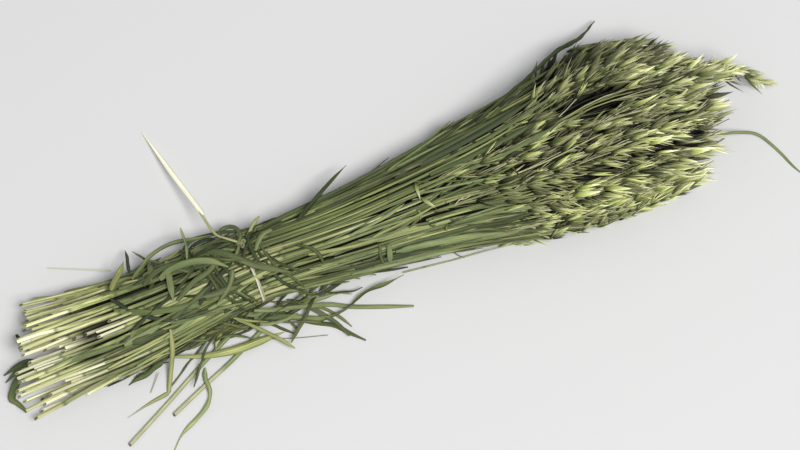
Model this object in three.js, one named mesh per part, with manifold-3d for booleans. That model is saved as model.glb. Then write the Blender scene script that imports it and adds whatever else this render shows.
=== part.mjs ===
// A bundle of dried oats, tied once round its waist and lying on a surface. Millimetres, +Z up.
// +X runs from the cut ends to the heads. The origin is the middle of the tie's flat underside.
import * as THREE from "three";
import { mergeVertices } from "three/addons/utils/BufferGeometryUtils.js";
import Module from "manifold-3d";

const wasm = await Module();
wasm.setup();

// Driving dimensions of the stalks
const GAP = 0.35; // clear space between neighbours
const STEM_RADIUS = 2.5; // a stem in its dried sheaths
const NECK_RADIUS = 1.5; // where the panicle starts
const RACHIS_RADIUS = 1.0; // the panicle's own axis at its thin end
const STEM_SIDES = 6;
const RACHIS_SIDES = 3;
const STEM_STATIONS = [-150, -75, 0, 65, 130]; // where a stem may bend
const STATION_CLEARANCE = 15; // no bend closer than this to either end of the stem
const CUT_SLANT = 2.2; // how far the oblique cut runs along the stem
const WAVE_LENGTHS = { y: [74, 43], z: [81, 47] }; // of a stem's slow wander, over two pi
const WAVE_SHARES = [0.6, 0.4];
const SETTLE = 40; // over this length after the neck the stem's wander dies out

// A spikelet, as shares of its length: where it is widest, and how far out its ridge and sides are there
const SPIKELET_LENGTH = 31;
const SPIKELET_HALF_WIDTH = 3.5;
const SPIKELET_FORM = { widest: 0.5, ridge: 0.8, side: 0.42 };
const SPIKELET_TURN = 0.7; // twist of the panicle's axis from one spikelet to the next, radians
const FIRST_SPIKELET = 0.4; // bare axis before the first spikelet, in spikelet steps
const END_SPIKELET = { free: 0.8, widest: 0.4 }; // shares of its length, back from the tip
const SPIKELETS_OUTSIDE = 13;
const SPIKELETS_INSIDE = 5;
const TOP_ROOM = 2.1; // upward room of the top layer's spikelets, as a share of the others'

// The bundle's form. At each place along it: half the width and the height of the field of stalk
// centrelines, and how far the field drifts sideways.
const FORM = [
  { at: -230, half: 46, rise: 40, drift: -9.5 },
  { at: -120, half: 37, rise: 36, drift: -8 },
  { at: 0, half: 29, rise: 34, drift: 0 },
  { at: 85, half: 33.4, rise: 39, drift: -2.8 },
  { at: 171, half: 43, rise: 46, drift: -2.5 },
  { at: 257, half: 58, rise: 58, drift: -5 },
  { at: 325, half: 67, rise: 66, drift: -1 },
  { at: 385, half: 60, rise: 60, drift: -5 },
  { at: 440, half: 48, rise: 50, drift: -4 },
  { at: 480, half: 40, rise: 44, drift: -5 },
];
// Stalks in each layer from the surface up, and how far across the field the layer reaches
const LAYERS = [
  { stalks: 6, reach: 0.78 },
  { stalks: 7, reach: 0.94 },
  { stalks: 8, reach: 1.0 },
  { stalks: 7, reach: 0.92 },
  { stalks: 6, reach: 0.74 },
  { stalks: 4, reach: 0.46 },
];
const SLOT = 0.143; // half the closest sideways spacing in a layer, as a share of the field's half width
const WANDER = 0.9; // how much of its free room a stem uses
const CUT_END = { at: -179, spread: 40, lean: 9 }; // where the cut ends are, how far they vary and slant
const NECK = { at: 192, outward: 46, spread: 12 }; // where panicles start, later in the outer stalks
const TIP = { at: 432, outward: -44, power: 2.5, spread: 9 }; // where they end, sooner in the outer stalks
// One long panicle reaches past the others, and hangs over towards the surface and the near side
const NODDING = { layer: 5, place: 2, from: 424, tip: 474, sideways: -14, down: -34 };

// The tie, a flat strip of raffia
const TIE_WIDTH = 4.2;
const TIE_THICKNESS = 1.2;
const TIE_SIDES = 20;
const TIE_SLACK = 0.5; // what the band leaves round the stems for their slant under it
const TIE_RAMP = 30; // over this length the stems come down from the band to the surface
const KNOT = { at: [-1, 14, 45], radius: 4.4, stretch: [1.3, 1, 0.6] };
const TAIL_POINTS = [[-1, 14, 45.6], [-11, 23, 44], [-18, 32, 38], [-23, 59, 29], [-42, 155.6, 1]];
const TAIL_WIDTH = 4;
const TAIL_FOLD = 1.2;
const TAIL_ENDS = [1, 0.4];
const TIE_ROUGHNESS = 0.7;

// Leaf blades
const LEAF_FOLD = 1.1; // depth of the fold along the blade's middle
const LEAF_ENDS = [0.45, 0.12]; // the blade's width at its root and tip, as shares of its full width
const LEAF_TAPERS = [3, 2.4]; // how fast it reaches its full width from root and tip
const LEAF_LEAST_FOLD = 0.35; // the fold's depth where the blade is narrowest, as a share
const LEAF_ROUGHNESS = 0.85;

// Loose stems and the thin loose stalk that lie beside the bundle
const LOOSE_STEM_RADIUS = 2;
const LOOSE_STEM_STEPS = 4;
const LOOSE_STEMS = {
  loose_stem_long: [[-148.2, -104.2, 2.2], [-106, -82, 2.2], [-63.5, -58.8, 2.2], [-24, -39.5, 2.4]],
  loose_stem_short: [[-104.6, -93.4, 2.1], [-74, -80, 2.1], [-43, -67, 2.1], [-10, -51, 2.1]],
};
const THIN_STALK = { cut: 122, neck: 180, tip: 238, spikelets: 3, radius: 0.9, room: 4.6, phase: 0.6 };
const THIN_STALK_COURSE = {
  y: -46.8, slope: -0.118, curve: -0.0001,
  low: 1.4, rise: 4, from: 165, over: 30,
};
const THIN_STALK_STATIONS = [140, 160];

// Colours of dried oats
const STRAW = 0xb9bd8a;
const PALE_STRAW = 0xc9c99a;
const SAGE = 0x6f7e50;
const DARK_LEAF = 0x46543c;
const YELLOW_LEAF = 0xa3a560;
const RAFFIA = 0xe2dfc2;

// A repeatable number from -1 to 1 for the stalk or leaf i and the use k
function scatter(i, k) {
  const t = Math.sin(i * 127.1 + k * 311.7) * 43758.5453;
  return 2 * (t - Math.floor(t)) - 1;
}

function clamp01(t) {
  return Math.min(Math.max(t, 0), 1);
}

// A value of FORM at x, on a smooth curve through its stations
function form(key, x) {
  let i = 0;
  while (i < FORM.length - 2 && x > FORM[i + 1].at) i += 1;
  const a = FORM[i];
  const b = FORM[i + 1];
  const before = FORM[Math.max(i - 1, 0)];
  const after = FORM[Math.min(i + 2, FORM.length - 1)];
  const span = b.at - a.at;
  const t = (x - a.at) / span;
  const slopeA = ((b[key] - before[key]) / (b.at - before.at)) * span;
  const slopeB = ((after[key] - a[key]) / (after.at - a.at)) * span;
  const bend = a[key] * (2 * t ** 3 - 3 * t ** 2 + 1) + b[key] * (3 * t ** 2 - 2 * t ** 3);
  return bend + slopeA * (t ** 3 - 2 * t ** 2 + t) + slopeB * (t ** 3 - t ** 2);
}

// Half the width and half the height of the room that one stalk has at x
function room(x) {
  const layerGaps = 2 * (LAYERS.length - 1);
  return { y: form("half", x) * SLOT, z: form("rise", x) / layerGaps };
}

// Height of the lowest layer's centrelines: the stalks lie on the surface, and on the band at the tie
function floorLift(x) {
  const overBand = TIE_THICKNESS + GAP;
  return room(x).z + overBand * Math.exp(-((x / TIE_RAMP) ** 2));
}

// Where the stalk is at x, and the room left round it
function stalkAt(stalk, x) {
  const cell = room(x);
  const stemShare = 1 - clamp01((x - stalk.neck) / SETTLE);
  const body = STEM_RADIUS + GAP / 2;
  const wave = (lengths, turns) =>
    WAVE_SHARES[0] * Math.sin(x / lengths[0] + turns[0] * stalk.phase) +
    WAVE_SHARES[1] * Math.sin(x / lengths[1] + turns[1] * stalk.phase);
  const waveY = wave(WAVE_LENGTHS.y, [1, 2.3]);
  const waveZ = wave(WAVE_LENGTHS.z, [1.7, 3.1]);
  const freeY = WANDER * stemShare * Math.max(cell.y - body, 0);
  const freeZ = WANDER * stemShare * Math.max(cell.z - body, 0);
  const nod = stalk.nods ? clamp01((x - NODDING.from) / (NODDING.tip - NODDING.from)) ** 2 : 0;
  return {
    y: form("drift", x) + form("half", x) * stalk.across + waveY * freeY + nod * NODDING.sideways,
    z: floorLift(x) + form("rise", x) * stalk.up + waveZ * freeZ + nod * NODDING.down,
    cell,
  };
}

// A closed mesh from points and triangles that name them by number
function meshOf(points, faces) {
  const geometry = new THREE.BufferGeometry();
  geometry.setAttribute("position", new THREE.Float32BufferAttribute(points.flat(), 3));
  geometry.setIndex(faces.flat());
  const flat = geometry.toNonIndexed();
  flat.computeVertexNormals();
  return flat;
}

// One stalk: a stem with an oblique cut, then a thin twisting axis with one spikelet on each stretch
function stalkGeometry({ place, cut, neck, tip, spikelets, phase, stemRadius, stations, roomAbove = 1 }) {
  const points = [];
  const faces = [];
  const addRing = (x, sides, radius, turn, slant = 0) => {
    const centre = place(x);
    const first = points.length;
    for (let j = 0; j < sides; j += 1) {
      const angle = turn + (2 * Math.PI * j) / sides;
      const y = centre.y + radius * Math.cos(angle);
      const z = centre.z + radius * Math.sin(angle);
      points.push([x + slant * Math.cos(angle - phase), y, z]);
    }
    return Array.from({ length: sides }, (_, j) => first + j);
  };
  const sew = (rear, front) => {
    rear.forEach((a, j) => {
      const k = (j + 1) % rear.length;
      faces.push([a, rear[k], front[k]], [a, front[k], front[j]]);
    });
  };

  const stem = [addRing(cut, STEM_SIDES, stemRadius, phase, CUT_SLANT)];
  const bends = stations.filter((s) => s > cut + STATION_CLEARANCE && s < neck - STATION_CLEARANCE);
  for (const x of bends) stem.push(addRing(x, STEM_SIDES, stemRadius, phase));
  stem.push(addRing(neck, STEM_SIDES, Math.min(NECK_RADIUS, stemRadius), phase));
  for (let k = 2; k < STEM_SIDES; k += 1) faces.push([stem[0][0], stem[0][k], stem[0][k - 1]]);
  for (let k = 1; k < stem.length; k += 1) sew(stem[k - 1], stem[k]);

  const step = (tip - SPIKELET_LENGTH * END_SPIKELET.free - neck) / (spikelets + FIRST_SPIKELET);
  let rear = addRing(neck + FIRST_SPIKELET * step, RACHIS_SIDES, RACHIS_RADIUS, phase);
  const last = stem[stem.length - 1];
  rear.forEach((r, j) => {
    const s = [last[2 * j], last[2 * j + 1], last[(2 * j + 2) % STEM_SIDES]];
    const next = rear[(j + 1) % RACHIS_SIDES];
    faces.push([s[0], s[1], r], [s[1], s[2], next], [s[1], next, r]);
  });

  // A spikelet on the side a b c d of the axis: ridged outside, leaning outwards, and free at its tip
  const addSpikelet = (x, facing, [a, b, c, d]) => {
    const out = [Math.cos(facing), Math.sin(facing)];
    const point = (share, outward, aside) => {
      const at = x + share * SPIKELET_LENGTH;
      const centre = place(at);
      const reachY = centre.cell.y - GAP;
      const reachDown = centre.cell.z - GAP;
      const reachUp = centre.cell.z * roomAbove - GAP;
      const reachZ = out[1] > 0 ? reachUp : reachDown;
      const y = THREE.MathUtils.clamp(out[0] * outward * reachY - out[1] * aside, -reachY, reachY);
      const z = THREE.MathUtils.clamp(out[1] * outward * reachZ + out[0] * aside, -reachDown, reachUp);
      points.push([at, centre.y + y, centre.z + z]);
      return points.length - 1;
    };
    const ridge = point(SPIKELET_FORM.widest, SPIKELET_FORM.ridge, 0);
    const left = point(SPIKELET_FORM.widest, SPIKELET_FORM.side, -SPIKELET_HALF_WIDTH);
    const right = point(SPIKELET_FORM.widest, SPIKELET_FORM.side, SPIKELET_HALF_WIDTH);
    const end = point(1, 1, 0);
    faces.push([a, b, ridge], [a, ridge, left], [b, right, ridge], [b, c, right], [d, a, left]);
    faces.push([left, ridge, end], [ridge, right, end], [c, d, end], [d, left, end], [c, end, right]);
  };
  for (let k = 0; k < spikelets; k += 1) {
    const x = neck + (k + FIRST_SPIKELET) * step;
    const turn = phase + k * SPIKELET_TURN;
    const front = addRing(x + step, RACHIS_SIDES, RACHIS_RADIUS, turn + SPIKELET_TURN);
    const bearing = k % RACHIS_SIDES;
    rear.forEach((a, j) => {
      const m = (j + 1) % RACHIS_SIDES;
      const facing = turn + SPIKELET_TURN / 2 + (2 * Math.PI * (j + 0.5)) / RACHIS_SIDES;
      if (j === bearing) addSpikelet(x, facing, [a, rear[m], front[m], front[j]]);
      else faces.push([a, rear[m], front[m]], [a, front[m], front[j]]);
    });
    rear = front;
  }

  // The end spikelet
  const widest = tip - SPIKELET_LENGTH * END_SPIKELET.widest;
  const swell = addRing(widest, RACHIS_SIDES, SPIKELET_HALF_WIDTH, phase);
  sew(rear, swell);
  const end = place(tip);
  points.push([tip, end.y, end.z]);
  swell.forEach((a, j) => faces.push([a, swell[(j + 1) % RACHIS_SIDES], points.length - 1]));
  return meshOf(points, faces);
}

function material(color, roughness) {
  return new THREE.MeshStandardMaterial({ color, roughness, metalness: 0 });
}

const bundle = new THREE.Group();

function add(name, geometry, color, roughness = 0.8) {
  const mesh = new THREE.Mesh(geometry, material(color, roughness));
  mesh.name = name;
  bundle.add(mesh);
}

// The stalks of the bundle, layer by layer
const stalks = [];
LAYERS.forEach((layer, row) => {
  for (let k = 0; k < layer.stalks; k += 1) {
    const i = stalks.length + 1;
    const across = layer.reach * ((2 * k) / (layer.stalks - 1) - 1);
    const outside = row === 0 || row === LAYERS.length - 1 || k === 0 || k === layer.stalks - 1;
    const nods = row === NODDING.layer && k === NODDING.place;
    const tip = TIP.at + TIP.outward * Math.abs(across) ** TIP.power + TIP.spread * scatter(i, 4);
    const stalk = {
      across,
      nods,
      up: row / (LAYERS.length - 1),
      phase: Math.PI * scatter(i, 3),
      cut: CUT_END.at + CUT_END.spread * scatter(i, 1) + CUT_END.lean * across,
      neck: NECK.at + NECK.outward * across ** 2 + NECK.spread * scatter(i, 2),
      tip: nods ? NODDING.tip : tip,
      spikelets: outside || row === LAYERS.length - 2 ? SPIKELETS_OUTSIDE : SPIKELETS_INSIDE,
      roomAbove: row === LAYERS.length - 1 ? TOP_ROOM : 1,
    };
    stalks.push(stalk);
  }
});

for (const [i, stalk] of stalks.entries()) {
  const geometry = stalkGeometry({
    ...stalk,
    place: (x) => stalkAt(stalk, x),
    stemRadius: STEM_RADIUS,
    stations: STEM_STATIONS,
  });
  add("stalk_" + String(i + 1).padStart(2, "0"), geometry, STRAW);
}

// Height of the bundle's outline over the point x, y, and 0 where only the surface is below
const SHOULDERS = LAYERS.map((layer, row) => [layer.reach + SLOT, row / (LAYERS.length - 1)]).reverse();
function roof(x, y) {
  const t = Math.abs(y - form("drift", x)) / form("half", x);
  const top = floorLift(x) + room(x).z;
  const outer = SHOULDERS.findIndex(([reach]) => t <= reach);
  if (outer < 0) return 0;
  if (outer === 0) return top + form("rise", x);
  const [reachA, upA] = SHOULDERS[outer - 1];
  const [reachB, upB] = SHOULDERS[outer];
  return top + form("rise", x) * (upA + ((t - reachA) / (reachB - reachA)) * (upB - upA));
}

// A point that lies over the bundle, this far above its outline
function over(x, y, lift) {
  return [x, y, roof(x, y) + lift];
}

// A dried leaf blade along its points, a shallow closed fold that narrows to its two ends
function leafGeometry({ points, width, fold = LEAF_FOLD, bends = 2, roll = 0, ends = LEAF_ENDS }) {
  const curve = new THREE.CatmullRomCurve3(
    points.map((p) => new THREE.Vector3(...p)),
    false,
    "centripetal",
  );
  const steps = (points.length - 1) * bends;
  const up = new THREE.Vector3(0, 0, 1);
  const corners = [];
  const faces = [];
  for (let k = 0; k <= steps; k += 1) {
    const t = k / steps;
    const tangent = curve.getTangent(t);
    const side = new THREE.Vector3().crossVectors(up, tangent).normalize().applyAxisAngle(tangent, roll);
    const keel = new THREE.Vector3().crossVectors(tangent, side);
    const share = Math.min(ends[0] + LEAF_TAPERS[0] * t, 1, ends[1] + LEAF_TAPERS[1] * (1 - t));
    const centre = curve.getPoint(t);
    const edge = side.multiplyScalar((share * width) / 2);
    corners.push(centre.clone().sub(edge).toArray());
    corners.push(centre.clone().add(edge).toArray());
    const depth = fold * THREE.MathUtils.lerp(LEAF_LEAST_FOLD, 1, share);
    corners.push(centre.clone().addScaledVector(keel, depth).toArray());
    if (k === 0) continue;
    const first = 3 * k;
    for (let j = 0; j < 3; j += 1) {
      const a = first - 3 + j;
      const b = first - 3 + ((j + 1) % 3);
      faces.push([a, b, b + 3], [a, b + 3, a + 3]);
    }
  }
  faces.push([0, 2, 1], [corners.length - 3, corners.length - 2, corners.length - 1]);
  return meshOf(corners, faces);
}

const LEAVES = {
  leaf_over_tie: {
    color: SAGE,
    width: 7,
    points: [
      over(-31, 18, 1.5), over(-22, 14, 3.5), over(-10, 3, 4.5),
      over(3, -9, 4.5), over(17, -18, 4), over(34, -26, 2),
    ],
  },
  leaf_hanging_front: {
    color: SAGE,
    width: 5,
    points: [
      over(-17, -4, 1), over(-19, -10, 2), over(-26, -19, 2.6),
      over(-40, -27, 2.4),
    ],
  },
  leaf_pointing_away: {
    color: DARK_LEAF,
    width: 5,
    points: [
      over(50, 16, 1.4), over(60, 22, 3.5), over(70, 29, 6),
      [84, 39, 33], [97, 48, 25], [110, 57, 16],
    ],
  },
  leaf_right_straight: {
    color: SAGE,
    width: 4,
    points: [
      [-10, -35.5, 13], [8, -41, 11], [30, -46, 9],
      [53, -51.5, 4], [70, -59.4, 1.4], [119, -78, 1],
    ],
  },
  leaf_right_twisted: {
    color: SAGE,
    width: 6,
    points: [
      [-12, -40, 8], [20, -51, 5.5], [42, -60.6, 3.6],
      [63, -61, 6.5], [84, -54, 10], [103, -54, 12],
      [120, -52.5, 13],
    ],
  },
  leaf_right_dark: {
    color: DARK_LEAF,
    width: 4.5,
    points: [
      [10, -40, 3], [22, -51, 1], [34, -60, 0.6],
      [50, -69.6, 1.5], [59.5, -80.7, 1.5], [69.7, -91.9, 2.5],
    ],
  },
  leaf_broad: {
    color: YELLOW_LEAF,
    width: 8.5,
    points: [
      [-90, -46, 8], [-63, -55.5, 7], [-37, -60, 6.5],
      [-14, -60, 5.6], [8, -59, 1],
    ],
  },
  leaf_curly: {
    color: SAGE,
    width: 4.6,
    points: [
      [-66, -64, 1], [-69, -74, 5.5], [-69.5, -87, 6.5],
      [-75, -96, 5], [-89, -104, 2], [-104.5, -111.5, 1],
      [-117, -124, 0.6],
    ],
  },
  leaf_bent_yellow: {
    color: YELLOW_LEAF,
    width: 5,
    bends: 1,
    points: [
      over(-83, -33, 1.8), [-87, -46, 24], [-92.3, -55, 12],
      [-102, -73, 1.2], [-121, -76, 0.8], [-142, -81, 0.6],
    ],
  },
  leaf_crumpled: {
    color: SAGE,
    width: 7,
    fold: 2,
    bends: 1,
    points: [
      [-97, -50, 14], [-105, -50.5, 12], [-113, -53, 8],
      [-122, -53, 6], [-131, -55, 1.5],
    ],
  },
  leaf_kinked_end: {
    color: DARK_LEAF,
    width: 6,
    bends: 1,
    points: [
      [-192, -20, 9], [-209, -13, 10.5], [-220, -19, 8],
      [-228, -29, 3], [-219, -45, 0.8],
    ],
  },
  leaf_arched_back: {
    color: SAGE,
    width: 4.5,
    points: [
      over(-98, 20, 1.6), over(-88, 28, 2.5), [-76, 37, 30],
      [-56, 42, 27], [-38, 38, 30], [-20, 35, 31],
    ],
  },
  leaf_upright_green: {
    color: YELLOW_LEAF,
    width: 6,
    points: [
      over(-118, 16, 1.4), over(-112, 24, 3.5), over(-105, 32, 8),
      [-99, 37, 41],
    ],
  },
  leaf_upright_dark: {
    color: DARK_LEAF,
    width: 3.5,
    points: [over(-98, 27, 3.2), [-96, 38, 29], [-94, 47, 20], [-93, 57, 9]],
  },
  leaf_along_heads: {
    color: DARK_LEAF,
    width: 7,
    points: [
      over(222, 38, 2), over(250, 50, 2.5), over(281, 62, 3),
      [314, 80, 38], [340, 89, 24], [357, 100, 8],
    ],
  },
  leaf_past_heads: {
    color: SAGE,
    width: 4.6,
    points: [
      [426, -37.5, 18], [438, -38.5, 11], [453, -44, 5],
      [464, -62, 1.2], [471, -81, 0.6],
    ],
  },
  leaf_along_far_edge: {
    color: DARK_LEAF,
    width: 5,
    bends: 1,
    points: [
      over(22, 24, 1.2), over(56, 28, 1.2), over(90, 31, 1.2),
      over(125, 35, 1.2), over(160, 40, 1.2), over(200, 48, 1.2),
    ],
  },
  leaf_along_near_edge: {
    color: SAGE,
    width: 6.5,
    roll: 0.9,
    bends: 1,
    points: [over(118, -39, 2.5), over(150, -43.5, 2.5), over(182, -50, 2.5), over(212, -58, 2.5)],
  },
};
for (const [name, leaf] of Object.entries(LEAVES)) {
  add(name, leafGeometry(leaf), leaf.color, LEAF_ROUGHNESS);
}

// Loose stems
function hexagon(radius) {
  const corners = Array.from({ length: 6 }, (_, k) => (Math.PI * k) / 3);
  return new THREE.Shape(corners.map((a) => new THREE.Vector2(radius * Math.cos(a), radius * Math.sin(a))));
}
for (const [name, points] of Object.entries(LOOSE_STEMS)) {
  const path = new THREE.CatmullRomCurve3(points.map((p) => new THREE.Vector3(...p)));
  const options = { steps: LOOSE_STEM_STEPS, extrudePath: path, bevelEnabled: false };
  add(name, new THREE.ExtrudeGeometry(hexagon(LOOSE_STEM_RADIUS), options), PALE_STRAW);
}

// The thin loose stalk with a poor panicle, which rises a little towards its tip
function thinStalkAt(x) {
  const { y, slope, curve, low, rise, from, over: length } = THIN_STALK_COURSE;
  const run = x - THIN_STALK.cut;
  return {
    y: y + slope * run + curve * run ** 2,
    z: low + rise * clamp01((x - from) / length),
    cell: { y: THIN_STALK.room, z: THIN_STALK.room },
  };
}
const thinStalk = stalkGeometry({
  ...THIN_STALK,
  stemRadius: THIN_STALK.radius,
  stations: THIN_STALK_STATIONS,
  place: thinStalkAt,
});
add("loose_stalk_thin", thinStalk, PALE_STRAW);

// The tie: a taut band round the stems at the waist with a flat underside, its knot and its long tail
function bandOutline(grow) {
  const centres = stalks.map((stalk) => stalkAt(stalk, 0));
  const bearings = Array.from({ length: TIE_SIDES }, (_, k) => (2 * Math.PI * k) / TIE_SIDES - Math.PI / 2);
  const support = bearings.map((angle, k) => {
    if (k === 0) return grow - TIE_THICKNESS;
    const reach = centres.map((c) => c.y * Math.cos(angle) + c.z * Math.sin(angle));
    return Math.max(...reach) + STEM_RADIUS + TIE_SLACK + grow;
  });
  const half = Math.PI / TIE_SIDES;
  return bearings.map((angle, k) => {
    const next = support[(k + 1) % TIE_SIDES];
    const along = (next - support[k] * Math.cos(2 * half)) / Math.sin(2 * half);
    const y = support[k] * Math.cos(angle) - along * Math.sin(angle);
    const z = support[k] * Math.sin(angle) + along * Math.cos(angle);
    return new THREE.Vector2(y, z);
  });
}

function solidOf(geometry) {
  const bare = new THREE.BufferGeometry();
  bare.setAttribute("position", geometry.getAttribute("position"));
  if (geometry.index) bare.setIndex(geometry.index);
  const merged = mergeVertices(bare, 1e-3);
  const vertProperties = new Float32Array(merged.getAttribute("position").array);
  const triVerts = new Uint32Array(merged.index.array);
  return new wasm.Manifold(new wasm.Mesh({ numProp: 3, vertProperties, triVerts }));
}

function geometryOf(solid) {
  const mesh = solid.getMesh();
  const geometry = new THREE.BufferGeometry();
  geometry.setAttribute("position", new THREE.BufferAttribute(mesh.vertProperties, 3));
  geometry.setIndex(new THREE.BufferAttribute(mesh.triVerts, 1));
  return geometry;
}

const section = new THREE.Shape(bandOutline(TIE_THICKNESS));
section.holes.push(new THREE.Path(bandOutline(0)));
const band = new THREE.ExtrudeGeometry(section, { depth: TIE_WIDTH, bevelEnabled: false });
const acrossTheBundle = new THREE.Matrix4().makeBasis(
  new THREE.Vector3(0, 1, 0),
  new THREE.Vector3(0, 0, 1),
  new THREE.Vector3(1, 0, 0),
);
band.applyMatrix4(acrossTheBundle).translate(-TIE_WIDTH / 2, 0, 0);
const knot = new THREE.IcosahedronGeometry(KNOT.radius, 0).scale(...KNOT.stretch).translate(...KNOT.at);
const tail = leafGeometry({ points: TAIL_POINTS, width: TAIL_WIDTH, fold: TAIL_FOLD, ends: TAIL_ENDS });
const tie = solidOf(band).add(solidOf(knot)).add(solidOf(tail));
add("tie", geometryOf(tie), RAFFIA, TIE_ROUGHNESS);

export default bundle;
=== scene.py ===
"""A bundle of dried oats, dressed over its solids.

Sizes here are millimetres in the part's own frame: +X runs from the cut ends to the heads, +Z is up, and
the origin is the middle of the tie's flat underside. Meshes are made in metres.
"""

import math
from collections import namedtuple

import bpy
import numpy as np
from mathutils import Matrix, Vector


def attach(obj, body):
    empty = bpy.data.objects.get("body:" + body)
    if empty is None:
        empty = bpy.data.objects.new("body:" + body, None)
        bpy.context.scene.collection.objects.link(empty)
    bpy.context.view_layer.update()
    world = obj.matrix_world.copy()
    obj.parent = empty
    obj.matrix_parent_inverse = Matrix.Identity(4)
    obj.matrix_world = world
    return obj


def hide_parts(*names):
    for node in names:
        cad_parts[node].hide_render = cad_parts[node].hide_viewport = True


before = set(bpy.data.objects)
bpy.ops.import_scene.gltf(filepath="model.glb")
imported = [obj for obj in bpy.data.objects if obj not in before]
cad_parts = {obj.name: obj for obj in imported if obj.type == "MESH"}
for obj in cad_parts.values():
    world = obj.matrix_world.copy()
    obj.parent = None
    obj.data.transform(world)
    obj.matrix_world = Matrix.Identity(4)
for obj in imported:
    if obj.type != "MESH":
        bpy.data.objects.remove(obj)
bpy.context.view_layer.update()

MM = 0.001
UP = np.array([0.0, 0.0, 1.0])
rng = np.random.default_rng(11)

# The bundle's form, as in the solids: half width and height of the field of stalks, and its sideways drift
FORM = {
    "at": np.array([-230, -120, 0, 85, 171, 257, 325, 385, 440, 480], float),
    "half": np.array([46, 37, 29, 33.4, 43, 58, 67, 60, 48, 40], float),
    "rise": np.array([40, 36, 34, 39, 46, 58, 66, 60, 50, 44], float),
    "drift": np.array([-9.5, -8, 0, -2.8, -2.5, -5, -1, -5, -4, -5], float),
}
LAYERS = [(6, 0.78), (7, 0.94), (8, 1.0), (7, 0.92), (6, 0.74), (4, 0.46)]  # stalks, reach across
WIDEST = 2  # the layer that reaches furthest across
SLOT = 0.143  # half the closest sideways spacing in a layer, as a share of the field's half width
GAP = 0.35  # clear space between the solids
STEM_RADIUS = 2.5  # of the solids' stems
SETTLE = 40  # over this length after the neck the stem's wander dies out
WANDER = 0.9  # how much of its free room a stem uses
WAVE_LENGTHS = {"y": (74, 43), "z": (81, 47)}  # of a stem's slow wander, over two pi
WAVE_TURNS = {"y": (1, 2.3), "z": (1.7, 3.1)}
WAVE_SHARES = (0.6, 0.4)
TIE_THICKNESS = 1.2
TIE_RAMP = 30  # over this length the stems come down from the band to the surface
CUT_END = {"at": -179, "spread": 40, "lean": 9}
NECK = {"at": 192, "outward": 46, "spread": 12}
TIP = {"at": 432, "outward": -44, "power": 2.5, "spread": 9}
# One long panicle hangs over at its tip, less far to the side than the solids' 14 mm
NODDING = {"layer": 5, "place": 2, "from": 424, "tip": 474, "sideways": -9, "down": -34}


def scatter(i, k):
    """A repeatable number from -1 to 1 for the stalk i and the use k, as in the solids."""
    t = math.sin(i * 127.1 + k * 311.7) * 43758.5453
    return 2 * (t - math.floor(t)) - 1


def smooth_step(x, low, high):
    """0 up to low and 1 from high on, with a smooth rise between them."""
    t = np.clip((np.asarray(x, float) - low) / (high - low), 0, 1)
    return t * t * (3 - 2 * t)


def form(key, x):
    """A value of FORM at x, on a smooth curve through its stations."""
    x = np.asarray(x, float)
    at, value = FORM["at"], FORM[key]
    i = np.clip(np.searchsorted(at, x, side="left") - 1, 0, len(at) - 2)
    before, after = np.maximum(i - 1, 0), np.minimum(i + 2, len(at) - 1)
    span = at[i + 1] - at[i]
    t = (x - at[i]) / span
    slope_a = (value[i + 1] - value[before]) / (at[i + 1] - at[before]) * span
    slope_b = (value[after] - value[i]) / (at[after] - at[i]) * span
    bend = value[i] * (2 * t**3 - 3 * t**2 + 1) + value[i + 1] * (3 * t**2 - 2 * t**3)
    return bend + slope_a * (t**3 - 2 * t**2 + t) + slope_b * (t**3 - t**2)


def room(x):
    """Half the width and half the height of the room that one of the solids' stalks has at x."""
    return form("half", x) * SLOT, form("rise", x) / (2 * (len(LAYERS) - 1))


def floor_lift(x):
    """Height of the lowest layer's centrelines."""
    return room(x)[1] + (TIE_THICKNESS + GAP) * np.exp(-((np.asarray(x) / TIE_RAMP) ** 2))


# The outline across the bundle, from the surface up: reach across and height, as shares of the form's
SHOULDERS = np.array([(reach + SLOT, row / (len(LAYERS) - 1)) for row, (_, reach) in enumerate(LAYERS)])


def roof(x, y):
    """Height of the bundle's outline over the point x, y."""
    across = np.abs(y - form("drift", x)) / form("half", x)
    reaches, heights = SHOULDERS[WIDEST:][::-1].T
    return floor_lift(x) + room(x)[1] + form("rise", x) * np.interp(across, reaches, heights)


def over(x, y, lift):
    """A point that lies over the bundle, this far above its outline."""
    return [x, y, float(roof(x, y)) + lift]


# How deep inside the bundle shade begins, and is full among the stems and among the heads, in stalks' rooms;
# from where to where the stems pass into the heads; and the light that is left
DEEP = {"from": 0.45, "to": (1.8, 1.35), "heads": (180, 290), "light": 0.03}
END_ROOM = {"cut": 19.0, "tip": 16.0}  # what counts as one room's depth, in from the bundle's two ends


def painted_shade(points):
    """Painted shade inside the bundle: 1 at the bundle's outline and outside it, darker the deeper inside a
    point lies.
    """
    x, y, z = np.moveaxis(points, -1, 0)
    half_z = room(x)[1]
    across = np.abs(y - form("drift", x)) / form("half", x)
    reaches, heights = SHOULDERS.T
    reach = np.interp((z - floor_lift(x)) / form("rise", x), heights, reaches)
    top = np.where(across < SHOULDERS[WIDEST, 0], roof(x, y) - z, 0) / half_z
    tip = TIP["at"] + TIP["outward"] * across ** TIP["power"]
    ends = np.minimum((tip - x) / END_ROOM["tip"], (x - CUT_END["at"]) / END_ROOM["cut"])
    depth = np.minimum(np.minimum(top, (reach - across) / SLOT), np.minimum(ends, z / half_z))
    full = np.interp(x, DEEP["heads"], DEEP["to"])
    return 1 - (1 - DEEP["light"]) * smooth_step(depth, DEEP["from"], full)


# Tools for points and curves
def unit(v):
    return v / np.maximum(np.linalg.norm(v, axis=-1, keepdims=True), 1e-9)


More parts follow.
